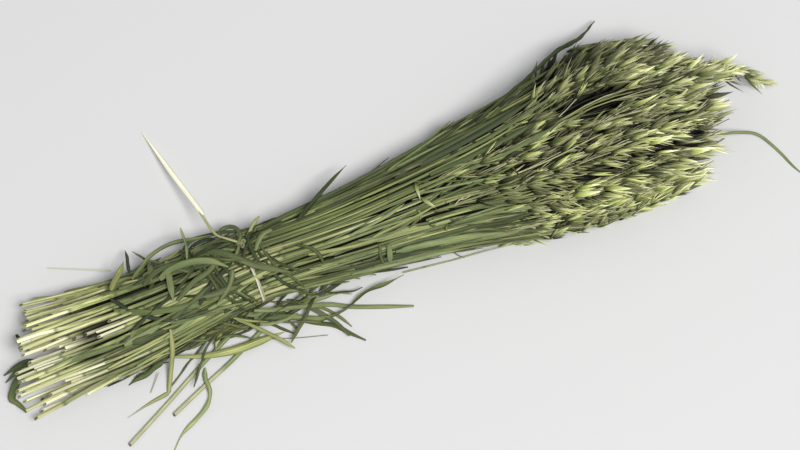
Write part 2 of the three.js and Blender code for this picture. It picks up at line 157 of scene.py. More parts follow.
def curve_through(points, count):
    """count points on a centripetal Catmull-Rom curve through the given ones."""
    p = np.asarray(points, float)
    p = np.vstack([2 * p[0] - p[1], p, 2 * p[-1] - p[-2]])
    t = np.linspace(0, len(p) - 3, count)
    i = np.minimum(t.astype(int), len(p) - 4)
    t = (t - i)[:, None]
    a, b, c, d = p[i], p[i + 1], p[i + 2], p[i + 3]
    ab, bc, cd = (np.sqrt(np.linalg.norm(e - s, axis=1))[:, None] for s, e in ((a, b), (b, c), (c, d)))
    slope_b = ((b - a) / ab - (c - a) / (ab + bc) + (c - b) / bc) * bc
    slope_c = ((c - b) / bc - (d - b) / (bc + cd) + (d - c) / cd) * bc
    return (
        b
        + slope_b * t
        + (-3 * b + 3 * c - 2 * slope_b - slope_c) * t**2
        + (2 * b - 2 * c + slope_b + slope_c) * t**3
    )


def frames(points, tangent=None):
    """Tangent, sideways and upward directions along a run of points, the last two square to the first."""
    along = unit(np.gradient(points, axis=-2) if tangent is None else tangent)
    side = unit(np.cross(UP, along))
    return along, side, np.cross(along, side)


def into_scene(name, data):
    """A new object of the scene."""
    thing = bpy.data.objects.new(name, data)
    bpy.context.scene.collection.objects.link(thing)
    return thing


SHARP_ANGLE = math.radians(50)


class Pile:
    """Many small closed forms that become one joined mesh. Each point has a tint of four numbers, the fourth
    its painted light and shade.
    """

    def __init__(self):
        self.points, self.faces, self.uvs, self.tints = [], [], [], []
        self.count = 0

    def add(self, points, tints, *parts):
        """points (n, 3) and tints (n, 4); each part is faces (m, k) and their corners' UV (m, k, 2)."""
        self.points.append(points)
        self.tints.append(tints)
        for faces, uv in parts:
            self.faces.append(faces + self.count)
            self.uvs.append(uv.reshape(-1, 2))
        self.count += len(points)

    def build(self, name, material, slot, nodes=()):
        """Makes the mesh, which rides on the root and replaces these nodes."""
        points = np.concatenate(self.points)
        tints = np.concatenate(self.tints)
        # painted shade, darker deep inside the bundle, joins the painted light in each tint's fourth number
        tints[:, 3] *= painted_shade(points)
        points = points * MM
        corners = np.concatenate([f.ravel() for f in self.faces])
        sizes = np.concatenate([np.full(len(f), f.shape[1]) for f in self.faces])
        mesh = bpy.data.meshes.new(name)
        mesh.vertices.add(len(points))
        mesh.vertices.foreach_set("co", points.astype(np.float32).ravel())
        mesh.loops.add(len(corners))
        mesh.loops.foreach_set("vertex_index", corners.astype(np.int32))
        mesh.polygons.add(len(sizes))
        mesh.polygons.foreach_set("loop_start", (np.cumsum(sizes) - sizes).astype(np.int32))
        layer = mesh.uv_layers.new(name="grain")
        layer.data.foreach_set("uv", np.concatenate(self.uvs).astype(np.float32).ravel())
        tint = mesh.attributes.new("tint", "FLOAT_COLOR", "POINT")
        tint.data.foreach_set("color", tints.astype(np.float32).ravel())
        mesh.update(calc_edges=True)
        mesh.validate()
        mesh.shade_smooth()
        mesh.set_sharp_from_angle(angle=SHARP_ANGLE)
        mesh.materials.append(material)
        piece = into_scene(name, mesh)
        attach(piece, "root")
        if nodes:
            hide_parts(*nodes)


def repeated(faces, count, stride):
    """The faces of one form, numbered for count copies of it that have stride points each."""
    return (faces[None] + stride * np.arange(count)[:, None, None]).reshape(-1, faces.shape[1])


def strip(first, second, u_first, u_second, v):
    """Quads between the rings of a closed strip, and their corners' UV.

    first and second number each quad's two points in its ring. v (..., n) is the grain's length at the rings.
    """
    size, n = len(first), v.shape[-1]
    rows = size * np.arange(n - 1)[:, None]
    quads = np.stack([rows + first, rows + second, rows + size + second, rows + size + first], -1)
    u = np.stack([u_first, u_second, u_second, u_first], -1)
    v = np.stack([v[..., :-1], v[..., :-1], v[..., 1:], v[..., 1:]], -1)[..., None, :]
    shape = (*v.shape[:-2], size, 4)
    uv = np.stack([np.broadcast_to(u, shape), np.broadcast_to(v, shape)], -1)
    return quads.reshape(-1, 4), uv.reshape(-1, 4, 2)


UNDERSIDE_SHADE = 0.65  # painted shade: how much darker the underside of each stem is painted
UNDERSIDE_SHADE_RANGE = (-0.7, 0.85)  # the sine of the way it faces, from all of that painted shade to none


def tubes(pile, centres, radii, sides, tints, along, slant=None, tangent=None, turn=0.0):
    """Closed tubes, as many as centres (b, n, 3) has rows, with n rings each.

    along (b, n) is the grain's length.
    """
    b, n, _ = centres.shape
    t, side, rise = frames(centres, tangent)
    angle = np.asarray(turn).reshape(-1, 1) + 2 * np.pi * np.arange(sides) / sides
    angle = np.broadcast_to(angle, (b, sides))
    cos, sin = np.cos(angle)[:, None, :, None], np.sin(angle)[:, None, :, None]
    out = side[:, :, None] * cos + rise[:, :, None] * sin
    ring = centres[:, :, None] + radii[:, :, None, None] * out
    if slant is not None:
        ring = ring + slant[:, :, None, None] * t[:, :, None] * sin
    j = np.arange(sides)
    wall, wall_uv = strip(j, (j + 1) % sides, j / sides, (j + 1) / sides, along)
    ends = np.stack([j[::-1], j + sides * (n - 1)])
    disc = 0.5 + 0.5 * np.stack([np.cos(2 * np.pi * j / sides), np.sin(2 * np.pi * j / sides)], -1)
    ends_uv = np.broadcast_to(disc, (b, 2, sides, 2))
    stride = n * sides
    tints = np.repeat(tints[:, :, None], sides, 2)
    # painted shade on the downward-facing side of every tube
    tints[..., 3] *= 1 - UNDERSIDE_SHADE * (1 - smooth_step(np.sin(angle), *UNDERSIDE_SHADE_RANGE))[:, None]
    pile.add(
        ring.reshape(-1, 3),
        tints.reshape(-1, 4),
        (repeated(wall, b, stride), wall_uv),
        (repeated(ends, b, stride), ends_uv.reshape(-1, sides, 2)),
    )


BLADE_COLUMNS = np.array([-1, -0.72, -0.36, 0, 0.36, 0.72, 1])
BLADE_THICKNESS = 0.28
BLADE_STEP, BLADE_STEPS = 3.5, (10, 44)  # a ring's usual distance from the next, and how many there may be
BLADE_CREASE = {"depth": 0.45, "length": 0.03}  # shares of the blade's width and length
RUFFLES = {"every": 60, "count": (2, 4), "turn": 6.28, "shift": 1.3}  # waves to this length, and their phases
LEAF_LIGHT = (0.5, 1.4)  # how bleached leaves are, for those that have no value of their own


def blade(pile, points, width, roll=(0, 0), fold=1.0, curl=0.0, ruffle=0.0, taper=(0.12, 0.3),
          ends=(0.5, 0.06), steps=None, tint=(0.5, 0.5), crease=None, side=None, floor=0.15, light=None):
    """One dried leaf blade along its points: a thin closed shell, folded, rolled and ruffled."""
    length = np.linalg.norm(np.diff(np.asarray(points, float), axis=0), axis=1).sum()
    n = steps or int(np.clip(length / BLADE_STEP, *BLADE_STEPS))
    line = curve_through(points, n)
    t = np.linspace(0, 1, n)
    along, across, keel = frames(line)
    if side is not None:
        across = np.broadcast_to(np.asarray(side, float), along.shape)
        keel = np.cross(along, across)
    angle = np.interp(t, np.linspace(0, 1, len(roll)), roll)[:, None]
    cos, sin = np.cos(angle), np.sin(angle)
    across, keel = across * cos + keel * sin, keel * cos - across * sin
    rooted = ends[0] + (1 - ends[0]) * smooth_step(t, 0, taper[0])
    tipped = ends[1] + (1 - ends[1]) * smooth_step(1 - t, 0, taper[1]) ** 0.8
    share = np.minimum(rooted, tipped)
    if crease is not None:
        share = share * (1 - BLADE_CREASE["depth"] * np.exp(-(((t - crease) / BLADE_CREASE["length"]) ** 2)))
    half = (share * width / 2)[:, None]
    s = BLADE_COLUMNS[None]
    wave = rng.uniform(*RUFFLES["count"]) * length / RUFFLES["every"]
    phase = rng.uniform(0, RUFFLES["turn"])
    height = fold * share[:, None] * (1 - np.abs(s)) - curl * share[:, None] * s**2
    wave_angle = RUFFLES["turn"] * wave * t[:, None] + phase + np.sign(s) * RUFFLES["shift"]
    height = height + ruffle * np.abs(s) ** 1.5 * np.sin(wave_angle)
    reach = half * s * (1 - 0.12 * abs(fold))
    top = line[:, None] + across[:, None] * reach[..., None] + keel[:, None] * height[..., None]
    under = top - keel[:, None] * BLADE_THICKNESS
    ring = np.concatenate([top, under[:, ::-1]], 1)
    ring[..., 2] = np.maximum(ring[..., 2], floor)
    size = ring.shape[1]
    j = np.arange(size)
    k = (j + 1) % size
    u = np.concatenate([(BLADE_COLUMNS + 1) / 2, (BLADE_COLUMNS[::-1] + 1) / 2])
    v = np.concatenate([[0], np.cumsum(np.linalg.norm(np.diff(line, axis=0), axis=1))]) / 100
    m = np.arange(len(BLADE_COLUMNS) - 1)
    start = np.stack([m, m + 1, size - 2 - m, size - 1 - m], -1)
    caps = np.concatenate([start, start[:, ::-1] + size * (n - 1)])
    cap_uv = np.stack([u[caps % size], np.where(caps < size, v[0], v[-1])], -1)
    tints = np.empty((n, size, 4))
    tints[..., 0], tints[..., 1], tints[..., 2] = tint[0], tint[1], t[:, None]
    tints[..., 3] = rng.uniform(*LEAF_LIGHT) if light is None else light
    pile.add(ring.reshape(-1, 3), tints.reshape(-1, 4), strip(k, j, u[k], u[j], v), (caps, cap_uv))


# Materials
def rgb(code):
    """A linear colour from a hexadecimal one."""
    parts = [int(code[i : i + 2], 16) / 255 for i in (0, 2, 4)]
    return [((c + 0.055) / 1.055) ** 2.4 if c > 0.04045 else c / 12.92 for c in parts] + [1.0]


SPECULAR = 0.35
RELIEF_DEPTH = {"straw": 0.0003, "leaf": 0.0003, "husk": 0.0002}  # metres


class Paint:
    """A node material in the making."""

    def __init__(self, name):
        self.material = bpy.data.materials.new(name)
        self.material.use_nodes = True
        self.nodes = self.material.node_tree.nodes
        self.shader = self.nodes["Principled BSDF"]
        self.shader.inputs["Specular IOR Level"].default_value = SPECULAR
        uv = self.add("ShaderNodeUVMap", {"uv_map": "grain"}).outputs[0]
        split = self.add("ShaderNodeSeparateXYZ", {}, {0: uv})
        self.u, self.v = split.outputs[0], split.outputs[1]
        tint = self.add("ShaderNodeAttribute", {"attribute_name": "tint"})
        parts = self.add("ShaderNodeSeparateColor", {}, {0: tint.outputs["Color"]})
        self.tints = [parts.outputs[i] for i in range(3)]
        # the tint's fourth number: painted light and shade
        self.painted_shade = tint.outputs["Alpha"]

    def add(self, kind, settings=None, inputs=None):
        node = self.nodes.new(kind)
        for key, value in (settings or {}).items():
            setattr(node, key, value)
        for key, value in (inputs or {}).items():
            if isinstance(value, bpy.types.NodeSocket):
                self.material.node_tree.links.new(value, node.inputs[key])
            else:
                node.inputs[key].default_value = value
        return node

    def math(self, operation, a, b=0.0, clamp=False):
        settings = {"operation": operation, "use_clamp": clamp}
        return self.add("ShaderNodeMath", settings, {0: a, 1: b}).outputs[0]

    def between(self, value, low, high, to_low=0.0, to_high=1.0):
        inputs = {0: value, 1: low, 2: high, 3: to_low, 4: to_high}
        return self.add("ShaderNodeMapRange", {"interpolation_type": "SMOOTHSTEP"}, inputs).outputs[0]

    def add_own(self, noise):
        """The item's own number moved a little by the noise."""
        moved = self.between(noise, 0.25, 0.75, -0.22, 0.22)
        return self.math("ADD", self.tints[0], moved, clamp=True)

    def grain(self, across, along, detail=3.0, seed=1.0):
        """Noise drawn out along the grain, its own on each stalk or leaf."""
        x = self.math("MULTIPLY", self.u, across)
        y = self.math("MULTIPLY", self.v, along)
        z = self.math("MULTIPLY", self.tints[0], 7.0 * seed)
        vector = self.add("ShaderNodeCombineXYZ", {}, {0: x, 1: y, 2: z}).outputs[0]
        inputs = {"Vector": vector, "Scale": 1.0, "Detail": detail}
        return self.add("ShaderNodeTexNoise", {}, inputs).outputs[0]

    def from_middle(self):
        """How far across the grain: 0 along the middle, 1 at both edges."""
        doubled = self.math("MULTIPLY", self.u, 2.0)
        return self.math("ABSOLUTE", self.math("SUBTRACT", doubled, 1.0))

    def ramp(self, value, stops):
        node = self.add("ShaderNodeValToRGB", {}, {0: value})
        elements = node.color_ramp.elements
        while len(elements) < len(stops):
            elements.new(0.5)
        for element, (place, code) in zip(elements, stops):
            element.position = place
            element.color = rgb(code)
        return node.outputs[0]

    def mix(self, share, a, b, blend="MIX"):
        settings = {"data_type": "RGBA", "blend_type": blend}
        return self.add("ShaderNodeMix", settings, {0: share, 6: a, 7: b}).outputs[2]

    def shade(self, colour, amount):
        """colour made lighter or darker by a plain number."""
        grey = self.add("ShaderNodeCombineColor", {}, {0: amount, 1: amount, 2: amount}).outputs[0]
        return self.mix(1.0, colour, grey, "MULTIPLY")

    def finish(self, colour, roughness, relief, strength, depth):
        # painted light and shade from the tint, multiplied into the colour
        colour = self.shade(colour, self.painted_shade)
        inputs = {"Strength": strength, "Distance": depth, "Height": relief}
        bump = self.add("ShaderNodeBump", {}, inputs).outputs[0]
        links = self.material.node_tree.links
        links.new(colour, self.shader.inputs["Base Color"])
        links.new(roughness, self.shader.inputs["Roughness"])
        links.new(bump, self.shader.inputs["Normal"])
        return self.material


def straw_paint(name, bare, sheath, joint):
    """Stems: fine lengthways ribs, bare straw and greener sheaths. Tints: own number, sheath, joint."""
    p = Paint(name)
    streak = p.grain(34, 5)
    broad = p.grain(6, 1.6, 2, 1.7)
    base = p.mix(p.tints[1], p.ramp(p.add_own(broad), bare), p.ramp(p.add_own(broad), sheath))
    base = p.mix(p.tints[2], base, rgb(joint))
    base = p.shade(base, p.between(streak, 0.3, 0.7, 0.62, 1.15))
    rough = p.between(broad, 0.3, 0.7, 0.5, 0.72)
    return p.finish(base, rough, streak, 0.5, RELIEF_DEPTH["straw"])


def leaf_paint(name, palette, dry, midrib):
    """Leaf blades: veins, a paler middle, dry edges and patches, and painted shade along their edges. Tints:
    own number, dryness, along.
    """
    p = Paint(name)
    edge = p.from_middle()
    vein = p.grain(26, 2.2)
    patch = p.grain(3, 5, 4, 2.3)
    base = p.ramp(p.add_own(patch), palette)
    rib = p.math("MULTIPLY", p.between(edge, 0.0, 0.14, 1.0, 0.0), 0.45)
    base = p.mix(rib, base, rgb(midrib))
    dry_edge, dry_tip = p.between(edge, 0.72, 1.0, 0.0, 0.45), p.between(p.tints[2], 0.6, 1.0, 0.0, 0.3)
    age = p.math("ADD", p.math("ADD", dry_edge, dry_tip), p.between(patch, 0.5, 0.72, 0.0, 0.5))
    age = p.math("MULTIPLY", age, p.tints[1], True)
    base = p.mix(age, base, rgb(dry))
    base = p.shade(base, p.between(vein, 0.3, 0.7, 0.6, 1.25))
    # painted shade along both edges, so that blades lying side by side part with dark lines
    base = p.shade(base, p.between(edge, 0.6, 1.0, 1.08, 0.5))
    rough = p.between(patch, 0.3, 0.7, 0.45, 0.7)
    return p.finish(base, rough, vein, 0.55, RELIEF_DEPTH["leaf"])


HUSK_RIBS = 7
# Glume colours from base to tip; the near-black at the base is partly their own olive and partly painted
# shade where the spikelets crowd
HUSK_BODY = [(0.0, "20270f"), (0.2, "59642a"), (0.48, "929c54"), (0.78, "c8cc8f"), (1.0, "f0eeca")]
HUSK_GREEN = [(0.0, "222b15"), (0.25, "4c5c2f"), (0.6, "728246"), (0.85, "a0aa6d"), (1.0, "d8d8a9")]
HUSK_MARGIN, HUSK_INSIDE = "e2e0ba", "c6c58d"


def husk_paint(name):
    """Spikelets: ribbed green glumes, cream at tip and margins, darkest at the base with painted shade.
    Tints: own number, paleness, part.
    """
    p = Paint(name)
    edge = p.from_middle()
    fibre = p.grain(14, 2.0, 2)
    ribs = p.math("SINE", p.math("MULTIPLY", p.u, 2 * math.pi * HUSK_RIBS))
    length = p.math("ADD", p.v, p.between(fibre, 0.3, 0.7, -0.1, 0.1))
    length = p.math("ADD", length, p.between(p.tints[1], 0.0, 1.0, -0.2, 0.22))
    body, green = p.ramp(length, HUSK_BODY), p.ramp(length, HUSK_GREEN)
    base = p.mix(p.between(p.tints[0], 0.45, 1.0, 0.0, 1.0), body, green)
    margin = p.math("MULTIPLY", p.between(edge, 0.6, 0.98), p.between(p.v, 0.1, 0.5, 0.0, 0.9))
    base = p.mix(margin, base, rgb(HUSK_MARGIN))
    base = p.mix(p.math("MULTIPLY", p.tints[2], 0.6), base, rgb(HUSK_INSIDE))
    base = p.shade(base, p.between(ribs, -1.0, 1.0, 0.82, 1.1))
    relief = p.math("ADD", ribs, fibre)
    rough = p.between(fibre, 0.3, 0.7, 0.42, 0.62)
    return p.finish(base, rough, relief, 0.4, RELIEF_DEPTH["husk"])


STRAW = straw_paint(
    "oat straw",
    [(0.0, "ebe9cb"), (0.25, "cccd91"), (0.5, "a3aa6c"), (0.75, "768049"), (1.0, "535e34")],
    [(0.0, "b4b87e"), (0.3, "8a955b"), (0.6, "657245"), (0.85, "495536"), (1.0, "808a54")],
    "4c522d",
)
PALE_STRAW = straw_paint(
    "pale straw",
    [(0.0, "d6d5ae"), (0.5, "b0b483"), (1.0, "8a905c")],
    [(0.0, "9da876"), (0.5, "86935f"), (1.0, "6f7a4c")],
    "6a7044",
)
LEAF_SAGE = leaf_paint(
    "sage leaf",
    [(0.0, "4a5733"), (0.4, "5f6d42"), (0.75, "748255"), (1.0, "8c9668")],
    "a8a564",
    "8e9a60",
)
LEAF_DARK = leaf_paint(
    "dark leaf",
    [(0.0, "333f24"), (0.4, "414f2e"), (0.75, "4e5d34"), (1.0, "5d6a3a")],
    "8b874c",
    "6b7a49",
)
LEAF_YELLOW = leaf_paint(
    "yellow leaf",
    [(0.0, "82884e"), (0.4, "949a5e"), (0.75, "a7aa72"), (1.0, "8b945a")],
    "bdb17c",
    "bcbd7e",
)
RAFFIA = leaf_paint(
    "raffia",
    [(0.0, "e6e3cc"), (0.4, "dedabc"), (0.75, "cdcb9c"), (1.0, "b9bb80")],
    "c4be90",
    "f0eedd",
)
HUSK = husk_paint("oat husk")

# Camera, light and floor
VIEW = {"azimuth": -21.6, "elevation": 71.0}
LENS, SENSOR = 150.0, 36.0
IMAGE = (800, 450)
MM_PER_PIXEL = 0.85
TARGET_PIXEL = (250, 267)  # where the photograph shows the point TARGET
TARGET = Vector((0, 0, 20))
CLIP_END = 50
KEY_LIGHT = {
    "at": (0.6, -2.1, 4.6), "aim": (0.1, 0, 0), "size": 2.0, "power": 222, "colour": (1.0, 0.995, 0.98),
}
SKY = {"colour": (0.965, 0.975, 1.0, 1), "strength": 0.37}
FLOOR = {"side": 6.0, "colour": (0.70, 0.70, 0.702, 1), "roughness": 0.7}


def make_camera():
    azimuth, elevation = math.radians(VIEW["azimuth"]), math.radians(VIEW["elevation"])
    right = Vector((math.cos(azimuth), math.sin(azimuth), 0))
    level = math.cos(elevation)
    back = Vector((math.sin(azimuth) * level, -math.cos(azimuth) * level, math.sin(elevation)))
    up = back.cross(right)
    aside, above = IMAGE[0] / 2 - TARGET_PIXEL[0], TARGET_PIXEL[1] - IMAGE[1] / 2
    middle = TARGET + MM_PER_PIXEL * (right * aside + up * above)
    distance = IMAGE[0] * MM_PER_PIXEL * LENS / SENSOR
    camera = into_scene("camera", bpy.data.cameras.new("camera"))
    camera.data.lens, camera.data.sensor_width = LENS, SENSOR
    camera.data.clip_end = CLIP_END
    turned = Matrix((right, up, back)).transposed().to_4x4()
    camera.matrix_world = Matrix.Translation((middle + back * distance) * MM) @ turned
    bpy.context.scene.camera = camera


def make_lights():
    light = into_scene("key light", bpy.data.lights.new("key light", "AREA"))
    light.data.shape = "DISK"
    light.data.size = KEY_LIGHT["size"]
    light.data.energy = KEY_LIGHT["power"]
    light.data.color = KEY_LIGHT["colour"]
    light.location = KEY_LIGHT["at"]
    light.rotation_mode = "QUATERNION"
    aim = Vector(KEY_LIGHT["aim"]) - Vector(KEY_LIGHT["at"])
    light.rotation_quaternion = aim.to_track_quat("-Z", "Y")
    world = bpy.data.worlds.new("studio")
    world.use_nodes = True
    sky = world.node_tree.nodes["Background"].inputs
    sky[0].default_value, sky[1].default_value = SKY["colour"], SKY["strength"]
    bpy.context.scene.world = world
    bpy.context.scene.view_settings.view_transform = "Standard"


def make_floor():
    mesh = bpy.data.meshes.new("floor")
    corner = FLOOR["side"] / 2
    places = [(-corner, -corner, 0), (corner, -corner, 0), (corner, corner, 0), (-corner, corner, 0)]
    mesh.from_pydata(places, [], [(0, 1, 2, 3)])
    paint = bpy.data.materials.new("floor")
    paint.use_nodes = True
    shader = paint.node_tree.nodes["Principled BSDF"].inputs
    shader["Base Color"].default_value = FLOOR["colour"]
    shader["Roughness"].default_value = FLOOR["roughness"]
    mesh.materials.append(paint)
    into_scene("floor", mesh)


make_camera()
make_lights()
make_floor()

# The stalks. Each of the solids' stalks stands for three real ones that share its room, and in the two upper
# layers for one or two more, which lie between the others.
MEMBERS = 3
EXTRA_ON_TOP = {4: 1, 5: 2}
MEMBER_REACH = (0.58, 0.95)  # of the room's half width and height; the second is for the extra ones
VARIES = {  # how stalks differ: millimetres, and shares of the thickness and of the light
    "cut": (-16, 22),
    "neck": (-20, 12),
    "short of tip": (4, 34),
    "first joint": (15, 110),
    "next joint": (115, 150),
    "sheath": (55, 105),
    "thick": (0.72, 1.15),
    "light": (0.7, 1.4),
}
TWIST = 0.006  # how fast stalks wind round each other, radians a millimetre at most
FAR_SIDE_BARE = 82  # how much later panicles start on the far side
LATEST_AT = 0.9  # where across the bundle that is the whole of it
EARLY = {"by": 24, "across": -0.45, "spread": 0.3}  # how much earlier they start in front of the middle
STRAY = {  # the stalk that lies apart on the far side, and how much its members' ends differ
    "layer": 2, "neck": 246, "tip": 386, "neck step": 6.0, "tip step": -12.0,
    "sideways": 9, "height": 15, "from": 225,
}
STEM = {"cut": 1.65, "neck": 1.1, "axis": 0.8, "tip": 0.35}  # radii along a real stalk
AXIS_AFTER = 20  # how far after the neck the stem is as thin as the panicle's axis
STEM_SIDES = 7
JOINT = {"half length": 1.7, "swell": 0.2, "bare": 5}  # no joint this close to the neck
SHEATH = {"thickness": 0.28, "edge": 0.6, "bare": 8, "green from": 2, "green to": -45, "green": 0.75}
SWAY = {"y": (1.8, 61), "z": (1.2, 53)}  # how far each stalk sways by itself, and over what length
SWAY_START = 5
TIE_HOLDS = 60  # how far from the tie the sway begins
FLARE = {"from": -90, "over": 100, "y": 6, "z": 3}  # how far the cut ends stray
END_LINE = (-208, 17)  # no real stalk starts before this place, at the middle and more to each side
PALE_BAND = (-0.45, 0.0)  # where across the bundle the stems on top are bleached
PALE_BAND_FROM = 4  # the first layer where they are
PALE_BAND_OWN = (0.02, 0.2)


class Stalk:
    """One real stalk, with its course and where its stem, panicle, joints and sheaths are."""

    def __init__(self, number, row, place, member):
        count, reach = LAYERS[row]
        self.number, self.row, self.member = number, row, member
        self.across = reach * (2 * place / (count - 1) - 1)
        self.up = row / (len(LAYERS) - 1)
        self.nods = row == NODDING["layer"] and place == NODDING["place"]
        self.strays = row == STRAY["layer"] and place == count - 1
        self.phase = math.pi * scatter(number, 3)
        self.extra = member >= MEMBERS
        shared_turn = 1.3 * self.phase + 2 * math.pi * member / MEMBERS
        self.turn = math.pi * (member - MEMBERS) if self.extra else shared_turn
        self.twist = rng.uniform(-TWIST, TWIST)
        self.sway = rng.uniform(-1, 1, 4)
        self.flare = rng.uniform(-1, 1, 2)
        self.thick, self.light = rng.uniform(*VARIES["thick"]), rng.uniform(*VARIES["light"])
        cut = CUT_END["at"] + CUT_END["spread"] * scatter(number, 1) + CUT_END["lean"] * self.across
        neck = NECK["at"] + NECK["outward"] * self.across**2 + NECK["spread"] * scatter(number, 2)
        outward = TIP["outward"] * abs(self.across) ** TIP["power"]
        tip = NODDING["tip"] if self.nods else TIP["at"] + outward + TIP["spread"] * scatter(number, 4)
        cut = cut + rng.uniform(*VARIES["cut"]) * (member > 0)
        self.cut = max(cut, END_LINE[0] + END_LINE[1] * self.across)
        early = EARLY["by"] * math.exp(-(((self.across - EARLY["across"]) / EARLY["spread"]) ** 2))
        bare = FAR_SIDE_BARE * smooth_step(self.across, 0, LATEST_AT) - early
        self.neck = neck + rng.uniform(*VARIES["neck"]) + bare
        self.tip = tip - rng.uniform(*VARIES["short of tip"]) * (member > 0)
        if self.strays:
            self.neck = STRAY["neck"] + STRAY["neck step"] * member
            self.tip = STRAY["tip"] + STRAY["tip step"] * member
        first = self.cut + rng.uniform(*VARIES["first joint"])
        self.joints = first + np.array([0, 1, 2]) * rng.uniform(*VARIES["next joint"])
        self.sheaths = self.joints + rng.uniform(*VARIES["sheath"], 3)
        pale = row >= PALE_BAND_FROM and PALE_BAND[0] < self.across < PALE_BAND[1]
        self.own = PALE_BAND_OWN[0] + PALE_BAND_OWN[1] * rng.uniform() if pale else rng.uniform()

    def at(self, x):
        """Points of the centreline at the places x."""
        x = np.asarray(x, float)
        cell_y, cell_z = room(x)
        share = 1 - np.clip((x - self.neck) / SETTLE, 0, 1)
        body = STEM_RADIUS + GAP / 2
        loose = 1 - np.exp(-((x / TIE_HOLDS) ** 2))

        def wave(axis):
            lengths, turns = WAVE_LENGTHS[axis], WAVE_TURNS[axis]
            a, b = (WAVE_SHARES[k] * np.sin(x / lengths[k] + turns[k] * self.phase) for k in (0, 1))
            return (a + b) * WANDER * share

        def sway(axis, reach, start):
            most, length = SWAY[axis]
            return most * loose * (reach * np.sin(x / length + SWAY_START * start))

        y = form("drift", x) + form("half", x) * self.across
        y = y + wave("y") * np.maximum(cell_y - body, 0)
        z = floor_lift(x) + form("rise", x) * self.up
        z = z + wave("z") * np.maximum(cell_z - body, 0)
        angle = self.turn + self.twist * x
        y = y + MEMBER_REACH[self.extra] * cell_y * np.cos(angle)
        z = z + MEMBER_REACH[self.extra] * cell_z * np.sin(angle)
        y = y + sway("y", *self.sway[:2])
        z = z + sway("z", *self.sway[2:])
        spread = np.clip((FLARE["from"] - x) / FLARE["over"], 0, 1) ** 2
        y, z = y + spread * FLARE["y"] * self.flare[0], z + spread * FLARE["z"] * self.flare[1]
        if self.nods:
            nod = np.clip((x - NODDING["from"]) / (NODDING["tip"] - NODDING["from"]), 0, 1) ** 2
            y, z = y + nod * NODDING["sideways"], z + nod * NODDING["down"]
        if self.strays:
            stray = np.clip((x - STRAY["from"]) / (STRAY["tip"] - STRAY["from"]), 0, 1)
            y = y + stray * STRAY["sideways"]
            z = z + smooth_step(stray, 0, 1) * (STRAY["height"] - z)
        return np.stack([x, y, np.maximum(z, self.radius(x) + 0.1)], -1)

    def radius(self, x):
        """Half the stalk's thickness at x, with its joints and sheaths."""
        places = [self.cut, self.neck, self.neck + AXIS_AFTER, self.tip]
        radii = [STEM["cut"] * self.thick, STEM["neck"] * self.thick, STEM["axis"], STEM["tip"]]
        bare = np.interp(x, places, radii)
        return bare * (1 + JOINT["swell"] * self.joint(x)) + SHEATH["thickness"] * self.sheath(x)

    def joint(self, x):
        near = (np.asarray(x)[..., None] - self.joints) / JOINT["half length"]
        return np.exp(-(near**2)).max(-1) * (x < self.neck - JOINT["bare"])

    def covered(self, x, begun, ending, ended):
        """1 in a sheath: begun is measured from its joint, and where it ends is measured from its end."""
        x = np.asarray(x, float)[..., None]
        inside = smooth_step(x, self.joints, self.joints + begun)
        inside = inside * (1 - smooth_step(x, self.sheaths + ending, self.sheaths + ended))
        return inside.max(-1) * (x[..., 0] < self.neck - SHEATH["bare"])

    def sheath(self, x):
        return self.covered(x, SHEATH["edge"], 0, SHEATH["edge"])

    def wrapped(self, x):
        """How green the stem is at x: under its sheaths, and less so towards their ends."""
        return SHEATH["green"] * self.covered(x, SHEATH["green from"], SHEATH["green to"], 0)


stalks = []
number = 0
for row, (count, _) in enumerate(LAYERS):
    for place in range(count):
        number += 1
        members = range(MEMBERS + EXTRA_ON_TOP.get(row, 0))
        stalks += [Stalk(number, row, place, member) for member in members]

EVEN_STATIONS = 36
JOINT_STATIONS = np.array([-3, -1.2, 0, 1.2, 3])
SHEATH_STATIONS = np.array([-0.2, 0.8])
CUT_BLEACH = {"from": -170, "to": -70, "light": 1.22}  # the cut ends are more bleached than the rest
STEM_OWN = (0.35, 0.43, 0.22)  # own colour: its share at the cut end, what that gains, and what all gain
TIE_SHADE = {"at": -25, "spread": 50, "most": 0.5, "side": (-14, 4)}  # darker near the tie, on the far side
STRAY_SHADE = {"from": 200, "to": 240, "most": 0.5}
JOINT_DARK = 0.8
HOLLOW = {"depth": 9.0, "radii": np.array([0.55, 0.62]), "light": 0.25}  # radii of its floor and its mouth, and the painted shade inside it
# How far the oblique cut runs, and by what share the other way on the stalks whose number is under a limit
CUT_SLANT = {"long": 1.9, "other way": -0.6, "limit": -0.3}


def turned_in(rows, inner):
    """Values of a stem's rings, with those of the hollow's floor and mouth before them."""
    return np.concatenate([[inner], rows[:1], rows])


